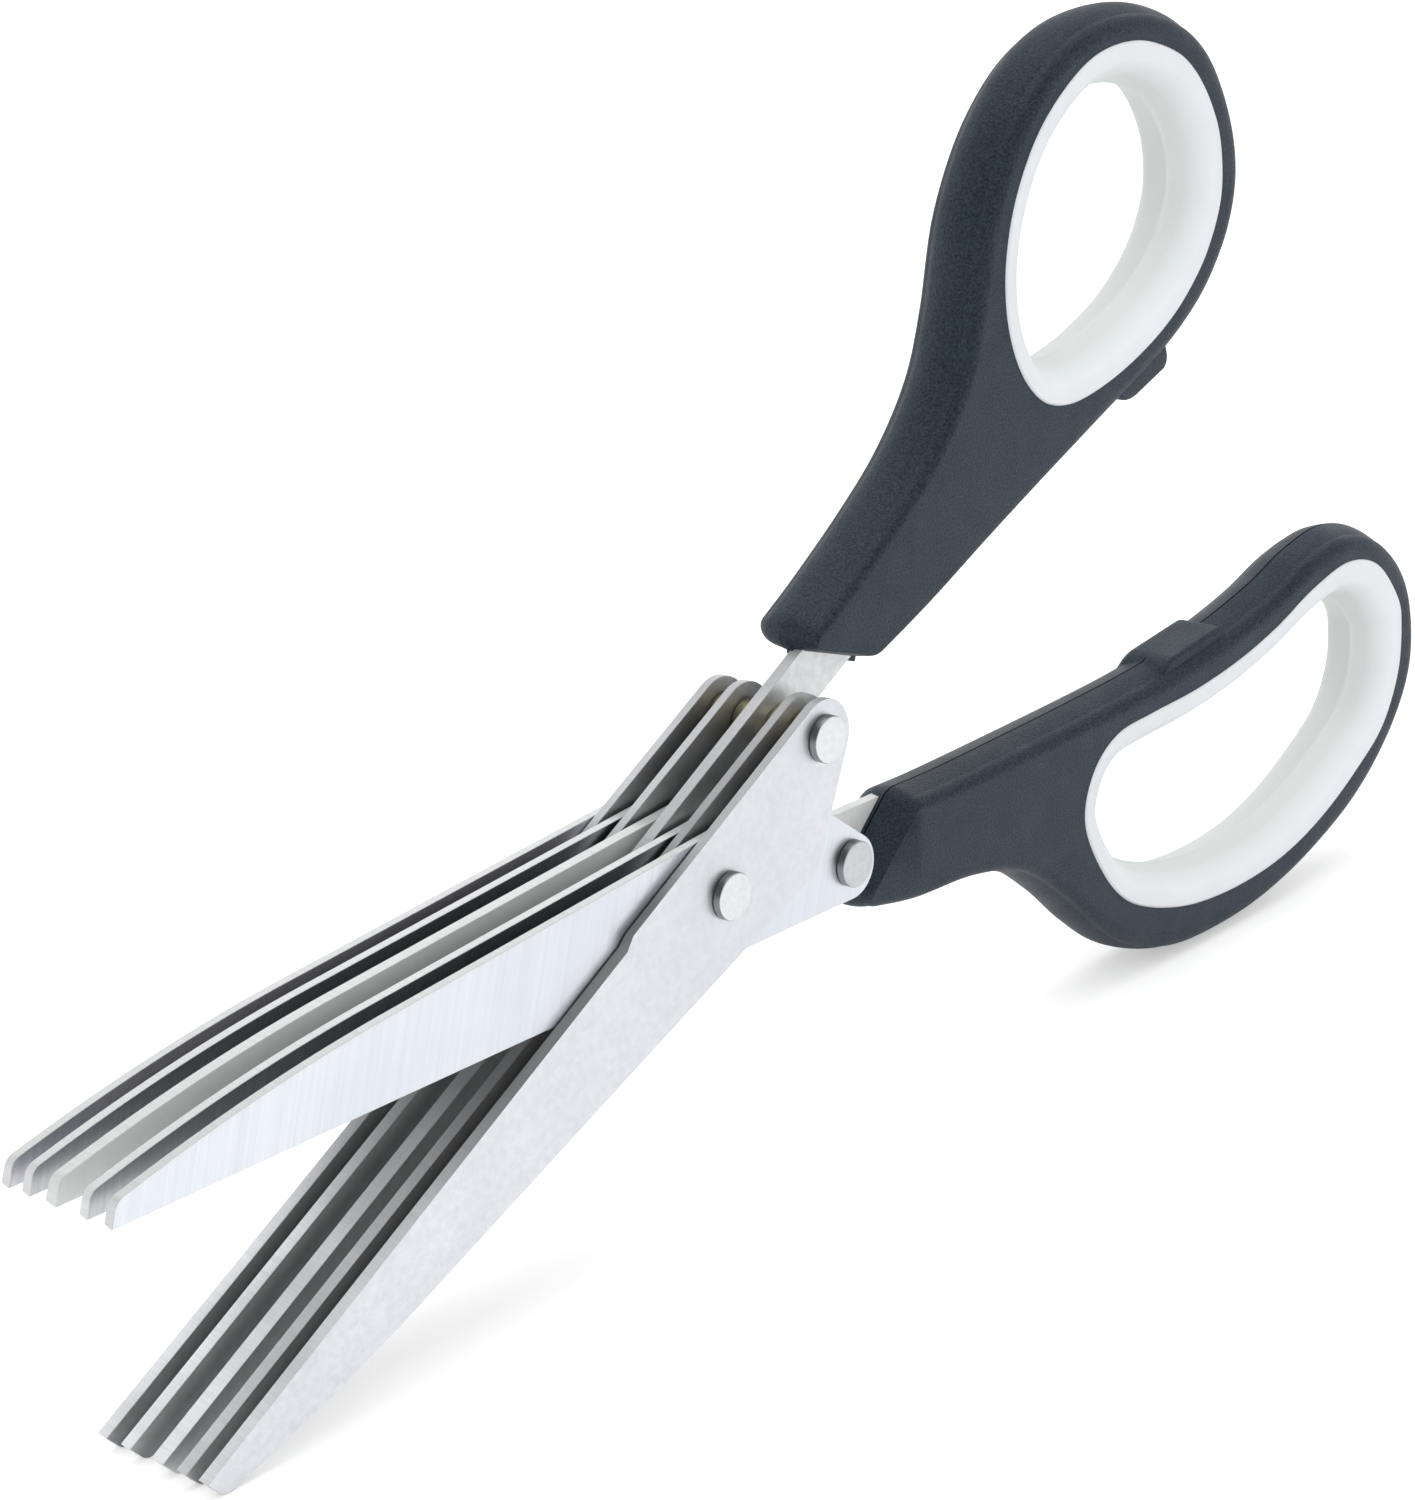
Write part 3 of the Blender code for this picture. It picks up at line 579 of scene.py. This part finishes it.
def blade_finishes(half):
    """The steels of one half by name, each with the values that brushed_steel takes."""
    label = half["label"]
    satin = (even(1500.0), 0.0)
    across = ((3000.0, 600.0, 45.0), -0.28)
    ground = ((4200.0, 260.0, 260.0), 0.0)
    # Painted shade: the front faces darken from the tip towards the pivot
    painted_shade_near_pivot = ((-62.0 * MM, -4.0 * MM, 1.0, 0.5),)
    # Painted light and shade: the finger's middle blade is near white where its tang is lit, and
    # darkened inside its slot
    painted_light_at_tang = ((9.0 * MM, 13.0 * MM, 0.2, 1.0),)
    # Painted shade: the thumb's inner faces darken away from their edge, where the blade in front
    # shades them
    painted_shade_off_edge = ((-6.1 * MM, -4.1 * MM, 1.0, 0.05), (-1.5 * MM, 2.0 * MM, 0.0, 0.6))
    # Painted shade: "inner" and "back" are darker copies of the face steel for the faces between the
    # blades. Painted reflection: "tinted" is lavender like the highlights in the rearmost finger gap
    if half["facing"] > 0:
        looks = {
            "face": ((0.70, 0.73, 0.78), (0.875, 0.91, 0.96), 0.36, *across, 0.12, 1.0, 0.55,
                     painted_shade_near_pivot),
            "inner": ((0.52, 0.53, 0.55), (0.63, 0.64, 0.67), 0.36, *across, 0.05),
            "tinted": ((0.66, 0.65, 0.71), (0.78, 0.77, 0.84), 0.50, *across, 0.05),
            "middle": ((0.68, 0.70, 0.695), (1.0, 1.0, 0.99), 0.50, *satin, 0.05, 0.3, 0.7,
                       painted_light_at_tang),
            "back": ((0.36, 0.37, 0.38), (0.48, 0.49, 0.50), 0.36, *satin, 0.05),
        }
        side = ((0.67, 0.68, 0.68), (0.80, 0.81, 0.81), 0.36, *ground, 0.05, 0.55)
    else:
        looks = {
            "face": ((0.68, 0.69, 0.725), (0.91, 0.92, 0.965), 0.40, *satin, 0.05, 1.0, 0.6,
                     painted_shade_near_pivot),
            "inner": ((0.33, 0.335, 0.345), (0.96, 0.97, 0.96), 0.56, *satin, 0.05, 1.0, 0.9,
                      painted_shade_off_edge, "Z"),
            "middle": ((0.74, 0.76, 0.76), (0.84, 0.86, 0.86), 0.52, *satin, 0.05),
            "back": ((0.20, 0.205, 0.21), (0.30, 0.305, 0.31), 0.42, *satin, 0.05),
        }
        # Painted shade: the thumb's side strips darken under the finger blades near the pivot, and
        # less towards the tail
        painted_shade_fades = ((-47.0 * MM, -29.0 * MM, 1.0, 0.05), (-8.0 * MM, 0.0, 0.0, 0.60))
        side = ((0.22, 0.225, 0.23), (0.93, 0.94, 0.965), 0.34, *ground, 0.08, 0.2, 0.84, painted_shade_fades)
    # Painted light and shade: each blade's side strip is a lighter or darker copy of the same steel
    for index, tone in enumerate(half["painted_side_shades"], 1):
        looks[f"side_{index}"] = (toned(side[0], tone), toned(side[1], tone), *side[2:])
    return {name: brushed_steel(f"{label}_{name}_steel", half, *look)
            for name, look in looks.items()}


def rivet_finish(name, tone):
    """Bright turned steel, toned for a rivet, with darker copies as painted shade for a shaded rivet
    and for rims.
    """
    return brushed_steel(name, None, toned((0.66, 0.68, 0.70), tone), toned((0.77, 0.78, 0.81), tone),
                         0.34, even(1800.0), 0.0, 0.06)


# Painted light and shade: a bright copy, a darker copy for the finger's tail rivet and a much darker
# one for the rims
bright_rivet = rivet_finish("rivet_steel", 1.10)
painted_shade_rivet = rivet_finish("painted_shade_rivet_steel", 0.84)
painted_shade_rivet_rim = rivet_finish("painted_shade_rim_steel", 0.45)
brass = brushed_steel("spacer_brass", None, (0.66, 0.57, 0.34), (0.98, 0.92, 0.69), 0.24,
                      (1500.0, 3000.0, 1500.0), 0.0, 0.10)
plastic = moulded_plastic("handle_plastic", (0.0, 0.003, 0.009), (0.021, 0.034, 0.052), 0.50)
# Painted shade: the parting groove is coloured near black
painted_shade_seam = moulded_plastic("parting_groove_painted_shade", (0.0005, 0.0005, 0.001), (0.001, 0.0015, 0.002),
                       0.85)
# Painted shade: the liner's bore colours darken from the front rim inwards and behind the ridge
rubber = soft_rubber("liner_rubber", (0.67, 0.70, 0.69), (0.72, 0.755, 0.74), (0.86, 0.89, 0.93),
                     0.42)


# Blades

def tail_arc(half):
    """The round end behind the rivet, up to where the straight run to the heel leaves it."""
    radius = half["tail_radius"]
    end = (half["tail_end"] - radius, radius - BACK_DEPTH)
    across = HEEL_RUN - end[0]
    up = half["heel_rise"] - end[1]
    tangent = math.atan2(up, across) - math.acos(radius / math.hypot(across, up))
    return arc(end, radius, -math.pi / 2, tangent, 2 * ARC_STEPS)


def blade_outline(half, tang, bevel):
    """A blade from its tip along the edge, round the tail or tang, and back along the spine."""
    height = bevel - half["edge_depth"]
    heel = (HEEL_RUN, half["heel_rise"])
    edge = [(-BLADE_REACH, height), (-EDGE_START, height), (-EDGE_START + JOG_RUN, -BACK_DEPTH)]
    tail = tail_arc(half)
    if tang:
        slope = (tail[-1][1] - heel[1]) / (tail[-1][0] - heel[0])
        root = (tail[-1][0] + (-TANG_INNER_DROP - tail[-1][1]) / slope, -TANG_INNER_DROP)
        outer_end = (TANG_END, -TANG_OUTER_DROP)
        inner_end = (TANG_END, -TANG_INNER_DROP)
        shoulder = (NECK_START, -TANG_OUTER_DROP)
        tail = [shoulder]
        tail += rounded(shoulder, outer_end, inner_end, TANG_CORNER_RADIUS)
        tail += rounded(outer_end, inner_end, root, TANG_CORNER_RADIUS)
        tail += rounded(inner_end, root, heel, TANG_FILLET_RADIUS)
        before_heel = root
    else:
        before_heel = tail[-1]
    bend = half["spine_bend"]
    slope = (heel[1] - bend[1]) / (heel[0] - bend[0])
    shoulder = (-BLADE_REACH + TIP_END_RAKE, -TIP_END_DROP)
    middle = (bend[0] + shoulder[0]) / 2
    spine = curve(bend, (middle, bend[1] + slope * (middle - bend[0])), shoulder, 3 * ARC_STEPS)
    corner = rounded(before_heel, heel, spine[0], HEEL_RADIUS)
    tip = rounded(spine[-2], spine[-1], edge[0], TIP_CORNER_RADIUS)
    return edge + tail + corner + spine[:-1] + tip


def blade(half, index, finishes):
    """One blade with a ground edge and fine chamfers, faces and sides in different steels, the faces
    inside the stack darkened as painted shade.
    """
    node = f"{half['label']}_blade_{index}"
    shift = set_back(half, index)
    near, far = depths_of(node, half, shift, shift)
    tang = index == MIDDLE
    front = blade_outline(half, tang, 0.0)
    rear = blade_outline(half, tang, BEVEL_WIDTH)
    mesh = bmesh.new()
    levels = (
        (inset(front, CHAMFER), near),
        (front, near + CHAMFER),
        (rear, far - CHAMFER),
        (inset(rear, CHAMFER), far),
    )
    rings = [ring_of(mesh, outline, depth) for outline, depth in levels]
    for first, second in zip(rings, rings[1:]):
        join_rings(mesh, first[0], second[0])
    cap(mesh, rings[0][1])
    cap(mesh, rings[-1][1])
    # Painted shade: rear faces inside the stack take the darker back steel, the last blade's rear the
    # face steel
    back = "face" if index == PAIRS else "back"
    item = piece_from(node + "_steel", mesh, half, 25, finishes[half["fronts"][index - 1]],
                      "blade_steel", node)
    item.data.materials.append(finishes[f"side_{index}"])
    item.data.materials.append(finishes[back])
    for polygon in item.data.polygons:
        if abs(polygon.normal.y) < SIDE_FACING:
            polygon.material_index = 1
        elif polygon.normal.y > 0:
            polygon.material_index = 2


# Rivets and rings

def turned(mesh, center, profile):
    """A solid turned about Y from (radius, depth) points that start and end away from the axis."""
    rings = [ring_of(mesh, circle(center, radius), depth)[0] for radius, depth in profile]
    for first, second in zip(rings, rings[1:]):
        join_rings(mesh, first, second)
    return rings


def rounded_rim(radius, depth, rim, inward):
    """Points of a small round edge on a disc, from its face to its side."""
    points = []
    for i in range(RIM_STEPS + 1):
        angle = math.pi / 2 * i / RIM_STEPS
        along = radius - rim + rim * math.sin(angle)
        points.append((along, depth + inward * rim * (1 - math.cos(angle))))
    return points


def rivet(name, half, center, shank, finish):
    """A rivet whose heads have round rims and a very slightly crowned face."""
    near, far = depths_of(name, half)
    mesh = bmesh.new()
    profile = [(HEAD_RADIUS * out, near + HEAD_CROWN * back) for out, back in CROWN_PROFILE]
    profile += rounded_rim(HEAD_RADIUS, near + HEAD_CROWN, HEAD_RIM, 1)
    profile += [(HEAD_RADIUS, near + HEAD_THICKNESS), (shank, near + HEAD_THICKNESS)]
    profile += [(radius, near + far - depth) for radius, depth in reversed(profile)]
    rings = turned(mesh, center, profile)
    mesh.faces.new(rings[0])
    mesh.faces.new(rings[-1])
    item = piece_from(name + "_steel", mesh, half, 50, finish, "rivet_steel", name)
    item.data.materials.append(painted_shade_rivet_rim)
    # Painted shade: the rim faces take the dark rim steel
    for polygon in item.data.polygons:
        if abs(polygon.normal.y) < RIM_FACING:
            polygon.material_index = 1


def spacer(name, half, center, radius, bore, shifts):
    """A brass ring with rounded rims, between two blades."""
    near, far = depths_of(name, half, *shifts)
    mesh = bmesh.new()
    profile = rounded_rim(radius, near, RING_RIM, 1)
    profile += reversed(rounded_rim(radius, far, RING_RIM, -1))
    profile += [(bore, far), (bore, near)]
    rings = turned(mesh, center, profile)
    join_rings(mesh, rings[-1], rings[0])
    piece_from(name + "_ring", mesh, half, 40, brass, "brass", name)


# Handles

def wall_section():
    """Points on a handle's side wall from front to back: depth, rounding and share of the groove."""
    front_flat = HANDLE_FRONT - FRONT_EDGE_DEPTH
    rear_flat = HANDLE_REAR - REAR_EDGE_RADIUS
    section = []
    for i in range(FRONT_EDGE_STEPS):
        angle = math.pi / 2 * (1 - i / FRONT_EDGE_STEPS)
        rounding = FRONT_EDGE_WIDTH * (1 - math.cos(angle))
        section.append((-front_flat - FRONT_EDGE_DEPTH * math.sin(angle), rounding, 0.0))
    for i in range(FRONT_WALL_STEPS + 1):
        share = i / FRONT_WALL_STEPS
        section.append((-front_flat + (front_flat - PARTING_HALF_WIDTH) * share, 0.0, 0.0))
    section.append((0.0, 0.0, 1.0))
    for i in range(REAR_WALL_STEPS):
        share = i / REAR_WALL_STEPS
        section.append((PARTING_HALF_WIDTH + (rear_flat - PARTING_HALF_WIDTH) * share, 0.0, 0.0))
    for i in range(REAR_EDGE_STEPS + 1):
        angle = math.pi / 2 * i / REAR_EDGE_STEPS
        rounding = REAR_EDGE_RADIUS * (1 - math.cos(angle))
        section.append((rear_flat + REAR_EDGE_RADIUS * math.sin(angle), rounding, 0.0))
    return section


def crown_at(depth, inner):
    """How far a wall leans in at one depth: two drafted halves inside, one soft curve outside."""
    flat = HANDLE_FRONT - FRONT_EDGE_DEPTH
    share = min(abs(depth), flat) / flat
    draft = INNER_DRAFT * inner
    return WALL_CROWN * (draft * share + (1 - draft) * share * share)


def inner_share(half, z):
    """One on the wall that faces the other handle, none on the outer wall."""
    return max(0.0, min(1.0, (z / half["drop"] - INNER_FROM) / INNER_BLEND))


def softness(along, half):
    share = max(0.0, min(1.0, (along - NECK_START) / (half["reach"] - NECK_START)))
    return NECK_SOFTNESS + (1 - NECK_SOFTNESS) * share


def body_outline(half, end_shift, inner_radius):
    """Smooth outline of a handle, whose slanted neck end can be shifted out towards the blades."""
    points = placed(half["body_shares"], half)
    outer_corner = moved_along(points[1], points[0], points[-1], end_shift)
    inner_corner = moved_along(points[-2], points[-1], points[0], end_shift)
    outer = rounded(inner_corner, outer_corner, points[1], NECK_CORNER_RADIUS)
    inner = rounded(points[-2], inner_corner, outer_corner, inner_radius)
    sweep = spline([outer[-1]] + points[1:-1] + [inner[0]], False, CURVE_STEPS)
    return outer[:-1] + sweep + inner[1:]


def refined(outline, flags):
    """The outline with three more points on each flagged segment."""
    result = []
    for i, point in enumerate(outline):
        result.append(point)
        if flags[i]:
            after = outline[(i + 1) % len(outline)]
            for share in (0.25, 0.5, 0.75):
                result.append(tuple(a + (b - a) * share for a, b in zip(point, after)))
    return result


def stop_height(half, along):
    """Height of the stop block's face over one place, with rounded ends that sink into the wall."""
    (start, start_rise), (end, end_rise) = half["stop"]
    slope = (end_rise - start_rise) / (end - start)
    over = max(start - along, along - end)
    ramp = STOP_NECK_RAMP if along < start else STOP_END_RAMP
    if over > ramp:
        return -math.inf
    sunk = STOP_ROUNDING * (1 - math.sqrt(1 - (max(0.0, over) / ramp) ** 2))
    return start_rise + slope * (min(along, end) - start) - sunk


def stop_lowering(depth):
    """How much the stop block is lowered at one depth by its long edges, or nothing past them."""
    edge = STOP_FRONT_EDGE if depth < 0 else STOP_REAR_EDGE
    over = (abs(depth) - STOP_HALF_WIDTH + edge) / edge
    if over > 1:
        return None
    return edge * (1 - math.sqrt(1 - max(0.0, over) ** 2))


def neck_end(half, depth, rounding):
    """Outline of a handle whose flat, slanted end face stays crisp while its walls round off."""
    softened = NECK_SOFTNESS * (crown_at(depth, 1.0) + (rounding if depth < 0 else 0.0))
    shift = half["neck_shift"] + softened - NECK_SLANT * abs(depth) / HANDLE_FRONT
    rear = max(0.0, depth) / HANDLE_REAR
    front_radius, rear_radius = half["neck_radii"]
    return body_outline(half, shift, front_radius + (rear_radius - front_radius) * rear)


def wall_levels():
    """The wall's section with more points where the stop block's long edges round off."""
    levels = wall_section()
    depths = [depth for depth, rounding, groove in levels]
    for side, edge in ((-1, STOP_FRONT_EDGE), (1, STOP_REAR_EDGE)):
        for share in (0.0, 0.3, 0.7, 0.9, 1.0):
            depth = side * (STOP_HALF_WIDTH - edge + edge * share)
            before = max(i for i, other in enumerate(depths) if other < depth)
            near, far = levels[before], levels[before + 1]
            mix = (depth - near[0]) / (far[0] - near[0])
            levels.append((depth, near[1] + (far[1] - near[1]) * mix, 0.0))
        levels.append((side * (STOP_HALF_WIDTH + STOP_SIDE_DRAFT), levels[-1][1], 0.0))
    return sorted(levels)


def neck_tab(mesh, half, span, near, far):
    """A low moulded tab beside the tang, standing off the neck's slanted end face."""
    shares = half["body_shares"]
    outer, inner = placed((shares[0], shares[-1]), half)
    end = unit(outer, inner)
    out = (-end[1], end[0])
    sides = [(outer[0] + end[0] * (z - outer[1]) / end[1], z) for z in span]
    height = half["neck_shift"] + TAB_HEIGHT
    front = [(x + out[0] * height, z + out[1] * height) for x, z in sides]
    sunk = [(x - out[0] * TAB_ROOT, z - out[1] * TAB_ROOT) for x, z in reversed(sides)]
    outline = front + sunk
    levels = ((TAB_EDGE, near), (0.0, near + TAB_EDGE), (0.0, far - TAB_EDGE), (TAB_EDGE, far))
    rings = [ring_of(mesh, inset(outline, distance), depth) for distance, depth in levels]
    for first, second in zip(rings, rings[1:]):
        join_rings(mesh, first[0], second[0])
    cap(mesh, rings[0][1])
    cap(mesh, rings[-1][1])


def neck_tabs(mesh, half):
    """Two tabs: one at the tang's inner side near its front, one at its outer side near its rear."""
    shift = set_back(half, MIDDLE)
    rear, front = depths_of(f"{half['label']}_blade_{MIDDLE}", half, shift, shift)
    inner_side = (TAB_WIDTH - TANG_INNER_DROP, -TANG_INNER_DROP - TAB_OVERLAP)
    outer_side = (TAB_OVERLAP - TANG_OUTER_DROP, -TANG_OUTER_DROP - TAB_WIDTH / 2)
    neck_tab(mesh, half, inner_side, front - TAB_DEPTH, front - TAB_EDGE)
    neck_tab(mesh, half, outer_side, rear - TAB_DEPTH / 2, rear + TAB_DEPTH / 2)


def handle(half):
    """A moulded handle: drafted walls, soft edges, parting line, stop block and straight bore."""
    label = half["label"]
    (stop_start, _), (stop_end, _) = half["stop"]
    low = stop_start - 2 * STOP_NECK_RAMP
    high = stop_end + 2 * STOP_END_RAMP
    top = TOP_FROM * half["drop"]
    base = neck_end(half, 0.0, 0.0)
    flags = [low < p[0] < high and p[1] > top for p in base]
    mesh = bmesh.new()
    rings = []
    for depth, rounding, groove in wall_levels():
        outline = refined(neck_end(half, depth, rounding), flags)
        offsets = []
        for x, z in outline:
            soft = softness(x, half)
            inner = inner_share(half, z)
            edge = soft if depth < 0 else max(soft, REAR_SOFTNESS)
            offsets.append(crown_at(depth, inner) * soft + rounding * edge
                           + groove * inner * PARTING_DEPTH)
        ring = inset_by(outline, offsets)
        lowered = stop_lowering(depth)
        if lowered is not None:
            ring = [(x, max(z, stop_height(half, x) - lowered))
                    if low < x < high and z > top else (x, z) for x, z in ring]
        rings.append(ring_of(mesh, ring, half["facing"] * depth))
    for first, second in zip(rings, rings[1:]):
        join_rings(mesh, first[0], second[0])
    bore = inset(spline(placed(half["loop_shares"], half), True, CURVE_STEPS), -BORE_CLEARANCE)
    front, front_edges = ring_of(mesh, bore, -half["facing"] * HANDLE_FRONT)
    rear, rear_edges = ring_of(mesh, bore, half["facing"] * HANDLE_REAR)
    join_rings(mesh, front, rear)
    cap(mesh, rings[0][1] + front_edges)
    cap(mesh, rings[-1][1] + rear_edges)
    if half["facing"] < 0:
        neck_tabs(mesh, half)
    item = piece_from(label + "_handle_moulding", mesh, half, 40, plastic, "hard_plastic",
                      label + "_handle")
    item.data.materials.append(painted_shade_seam)
    drawn = half["matrix"].inverted()
    for polygon in item.data.polygons:
        place = drawn @ polygon.center
        on_stop = stop_start - STOP_NECK_RAMP / 2 < place.x < stop_end + STOP_END_RAMP / 2
        # Polygons in the parting groove take the painted shade
        if abs(place.y) < PARTING_HALF_WIDTH and place.z > top and not on_stop:
            polygon.material_index = 1


def bore_share(share):
    """How much of the bulge is left towards a rim, which it meets in a round."""
    return 1 - LINER_SLOPE * share - (1 - LINER_SLOPE) * share ** 6


def liner(half):
    """A soft ring in the loop, rounded at its rims, with a fine crisp ridge at mid depth."""
    label = half["label"]
    loop = spline(placed(half["loop_shares"], half), True, CURVE_STEPS)
    span = (HANDLE_FRONT + HANDLE_REAR) / 2 + LINER_PROUD
    middle = (HANDLE_REAR - HANDLE_FRONT) / 2
    section = []
    for i in range(-LINER_STEPS, LINER_STEPS + 1):
        share = i / LINER_STEPS
        rim = LINER_FRONT_RIM if i < 0 else LINER_REAR_RIM
        section.append((span * share, rim + (LINER_BULGE - rim) * bore_share(abs(share))))
    section[LINER_STEPS:LINER_STEPS + 1] = [
        (-LINER_RIDGE, LINER_BULGE), (0.0, LINER_BULGE + LINER_RIDGE), (LINER_RIDGE, LINER_BULGE),
    ]
    (x_swell, z_swell), reach, swell = half["swell"]
    swells = [swell * math.exp(-((x - x_swell) ** 2 + (z - z_swell) ** 2) / reach ** 2)
              for x, z in loop]
    mesh = bmesh.new()
    rings = []
    for depth, offset in section:
        ring = eased(inset_by(loop, [offset + extra for extra in swells]), LINER_EASING)
        rings.append(ring_of(mesh, ring, half["facing"] * (middle + depth))[0])
    for depth, offset in ((span, LINER_OUTER_EDGE), (span - LINER_OUTER_EDGE, 0.0),
                          (LINER_OUTER_EDGE - span, 0.0), (-span, LINER_OUTER_EDGE)):
        rings.append(ring_of(mesh, inset(loop, offset), half["facing"] * (middle + depth))[0])
    for first, second in zip(rings, rings[1:] + rings[:1]):
        join_rings(mesh, first, second)
    piece_from(label + "_liner_ring", mesh, half, 38, rubber, "soft_liner", label + "_liner")


# Assembly

FINGER["rivet_finish"] = painted_shade_rivet
THUMB["rivet_finish"] = bright_rivet
for half in (FINGER, THUMB):
    half["matrix"] = half_matrix(half)
    label = half["label"]
    finishes = blade_finishes(half)
    for index in range(1, PAIRS + 1):
        blade(half, index, finishes)
    rivet_at = (half["tail_run"], -TAIL_DROP)
    rivet(label + "_tail_rivet", half, rivet_at, TAIL_SHANK_RADIUS, half["rivet_finish"])
    for index in range(1, PAIRS):
        spacer(f"{label}_tail_spacer_{index}", half, rivet_at, half["spacer_radius"], TAIL_RING_BORE,
               (set_back(half, index), set_back(half, index + 1)))
    handle(half)
    liner(half)
rivet("pivot_rivet", FINGER, (0.0, 0.0), PIVOT_SHANK_RADIUS, bright_rivet)
for index in range(1, PAIRS):
    spacer(f"pivot_spacer_{index}", FINGER, (0.0, 0.0), PIVOT_RING_RADIUS, PIVOT_RING_BORE,
           (set_back(FINGER, index), set_back(THUMB, index + 1)))


# Studio

def floor_material():
    """White paper that keeps the shadow and glows for camera, glossy and transmission rays."""
    material, tree, shader = new_material("white_paper")
    tree.nodes.remove(shader)
    output = tree.nodes["Material Output"]
    fibres = stretched_noise(tree, even(PAPER_FIBRES), detail=3.0)
    paper = tree.nodes.new("ShaderNodeBsdfDiffuse")
    tree.links.new(tinted(tree, PAPER_DARK, PAPER_LIGHT, fibres), paper.inputs["Color"])
    glow = tree.nodes.new("ShaderNodeEmission")
    path = tree.nodes.new("ShaderNodeLightPath")
    tree.links.new(ranged(tree, path.outputs["Is Camera Ray"], 0.0, 1.0, *FLOOR_GLOW),
                   glow.inputs["Strength"])
    lifted = tree.nodes.new("ShaderNodeAddShader")
    tree.links.new(paper.outputs["BSDF"], lifted.inputs[0])
    tree.links.new(glow.outputs["Emission"], lifted.inputs[1])
    seen = combined(tree, "ADD", path.outputs["Is Camera Ray"], path.outputs["Is Glossy Ray"])
    through = combined(tree, "ADD", seen, path.outputs["Is Transmission Ray"], clamped=True)
    mixed = tree.nodes.new("ShaderNodeMixShader")
    tree.links.new(through, mixed.inputs["Fac"])
    tree.links.new(paper.outputs["BSDF"], mixed.inputs[1])
    tree.links.new(lifted.outputs["Shader"], mixed.inputs[2])
    tree.links.new(mixed.outputs["Shader"], output.inputs["Surface"])
    return material


def studio_floor():
    mesh = bmesh.new()
    bmesh.ops.create_grid(mesh, x_segments=1, y_segments=1, size=FLOOR_REACH)
    data = bpy.data.meshes.new("studio_floor")
    mesh.to_mesh(data)
    mesh.free()
    item = bpy.data.objects.new("studio_floor", data)
    bpy.context.scene.collection.objects.link(item)
    data.materials.append(floor_material())


def dim_patch(tree, coords, toward, rim, core, left):
    """A soft darker patch of the surroundings in one direction."""
    aim = tree.nodes.new("ShaderNodeVectorMath")
    aim.operation = "DOT_PRODUCT"
    aim.inputs[1].default_value = Vector(toward).normalized()
    tree.links.new(coords, aim.inputs[0])
    return ranged(tree, aim.outputs["Value"], rim, core, 1.0, left)


def studio_world():
    """White to the camera. As light, bright low down, greyer above and bright again overhead,
    stronger from the handles' side, and dimmed behind the camera and to its right.
    """
    world = bpy.data.worlds.new("studio")
    world.use_nodes = True
    bpy.context.scene.world = world
    tree = world.node_tree
    background = tree.nodes["Background"]
    coords = tree.nodes.new("ShaderNodeTexCoord").outputs["Generated"]
    axes = tree.nodes.new("ShaderNodeSeparateXYZ")
    tree.links.new(coords, axes.inputs["Vector"])
    sky = combined(tree, "ADD", ranged(tree, axes.outputs["Z"], *SKY_DIMMING),
                   ranged(tree, axes.outputs["Z"], *SKY_TOP))
    side = ranged(tree, axes.outputs["X"], *SIDE_BALANCE)
    dim = combined(tree, "MULTIPLY", dim_patch(tree, coords, *PATCH_BEHIND),
                   dim_patch(tree, coords, *PATCH_BESIDE))
    shade = combined(tree, "MULTIPLY", combined(tree, "MULTIPLY", sky, side), dim)
    path = tree.nodes.new("ShaderNodeLightPath")
    strength = tree.nodes.new("ShaderNodeMix")
    strength.data_type = "FLOAT"
    strength.inputs["B"].default_value = 1.0
    tree.links.new(path.outputs["Is Camera Ray"], strength.inputs["Factor"])
    tree.links.new(shade, strength.inputs["A"])
    tree.links.new(strength.outputs["Result"], background.inputs["Strength"])
    background.inputs["Color"].default_value = (1.0, 1.0, 1.0, 1.0)


def soft_sun(name, toward, degrees, power):
    """A wide, even light that glossy reflections don't show."""
    data = bpy.data.lights.new(name, "SUN")
    data.angle = math.radians(degrees)
    data.energy = power
    item = bpy.data.objects.new(name, data)
    bpy.context.scene.collection.objects.link(item)
    item.rotation_mode = "QUATERNION"
    item.rotation_quaternion = Vector(toward).to_track_quat("Z", "Y")
    item.visible_glossy = False


def studio_camera():
    """The photograph's view, set in the finger half's frame."""
    data = bpy.data.cameras.new("camera")
    data.sensor_fit = "AUTO"
    data.sensor_width = 36.0
    data.lens = 84.79
    item = bpy.data.objects.new("camera", data)
    bpy.context.scene.collection.objects.link(item)
    right = Vector(CAMERA_RIGHT)
    above = Vector(CAMERA_ABOVE)
    turn = Matrix((right, above, right.cross(above))).transposed()
    item.matrix_world = FINGER["matrix"] @ Matrix.Translation(CAMERA_PLACE) @ turn.to_4x4()
    data.clip_start = 0.01
    data.clip_end = 20.0
    bpy.context.scene.camera = item


studio_floor()
studio_world()
soft_sun("key", (-0.15, 0.15, 1.0), 65, 0.7)
soft_sun("fill", (-0.7, -0.6, 0.5), 60, 1.0)
soft_sun("side", (0.45, -0.75, 0.5), 60, 0.45)
studio_camera()
bpy.context.scene.view_settings.view_transform = "Standard"
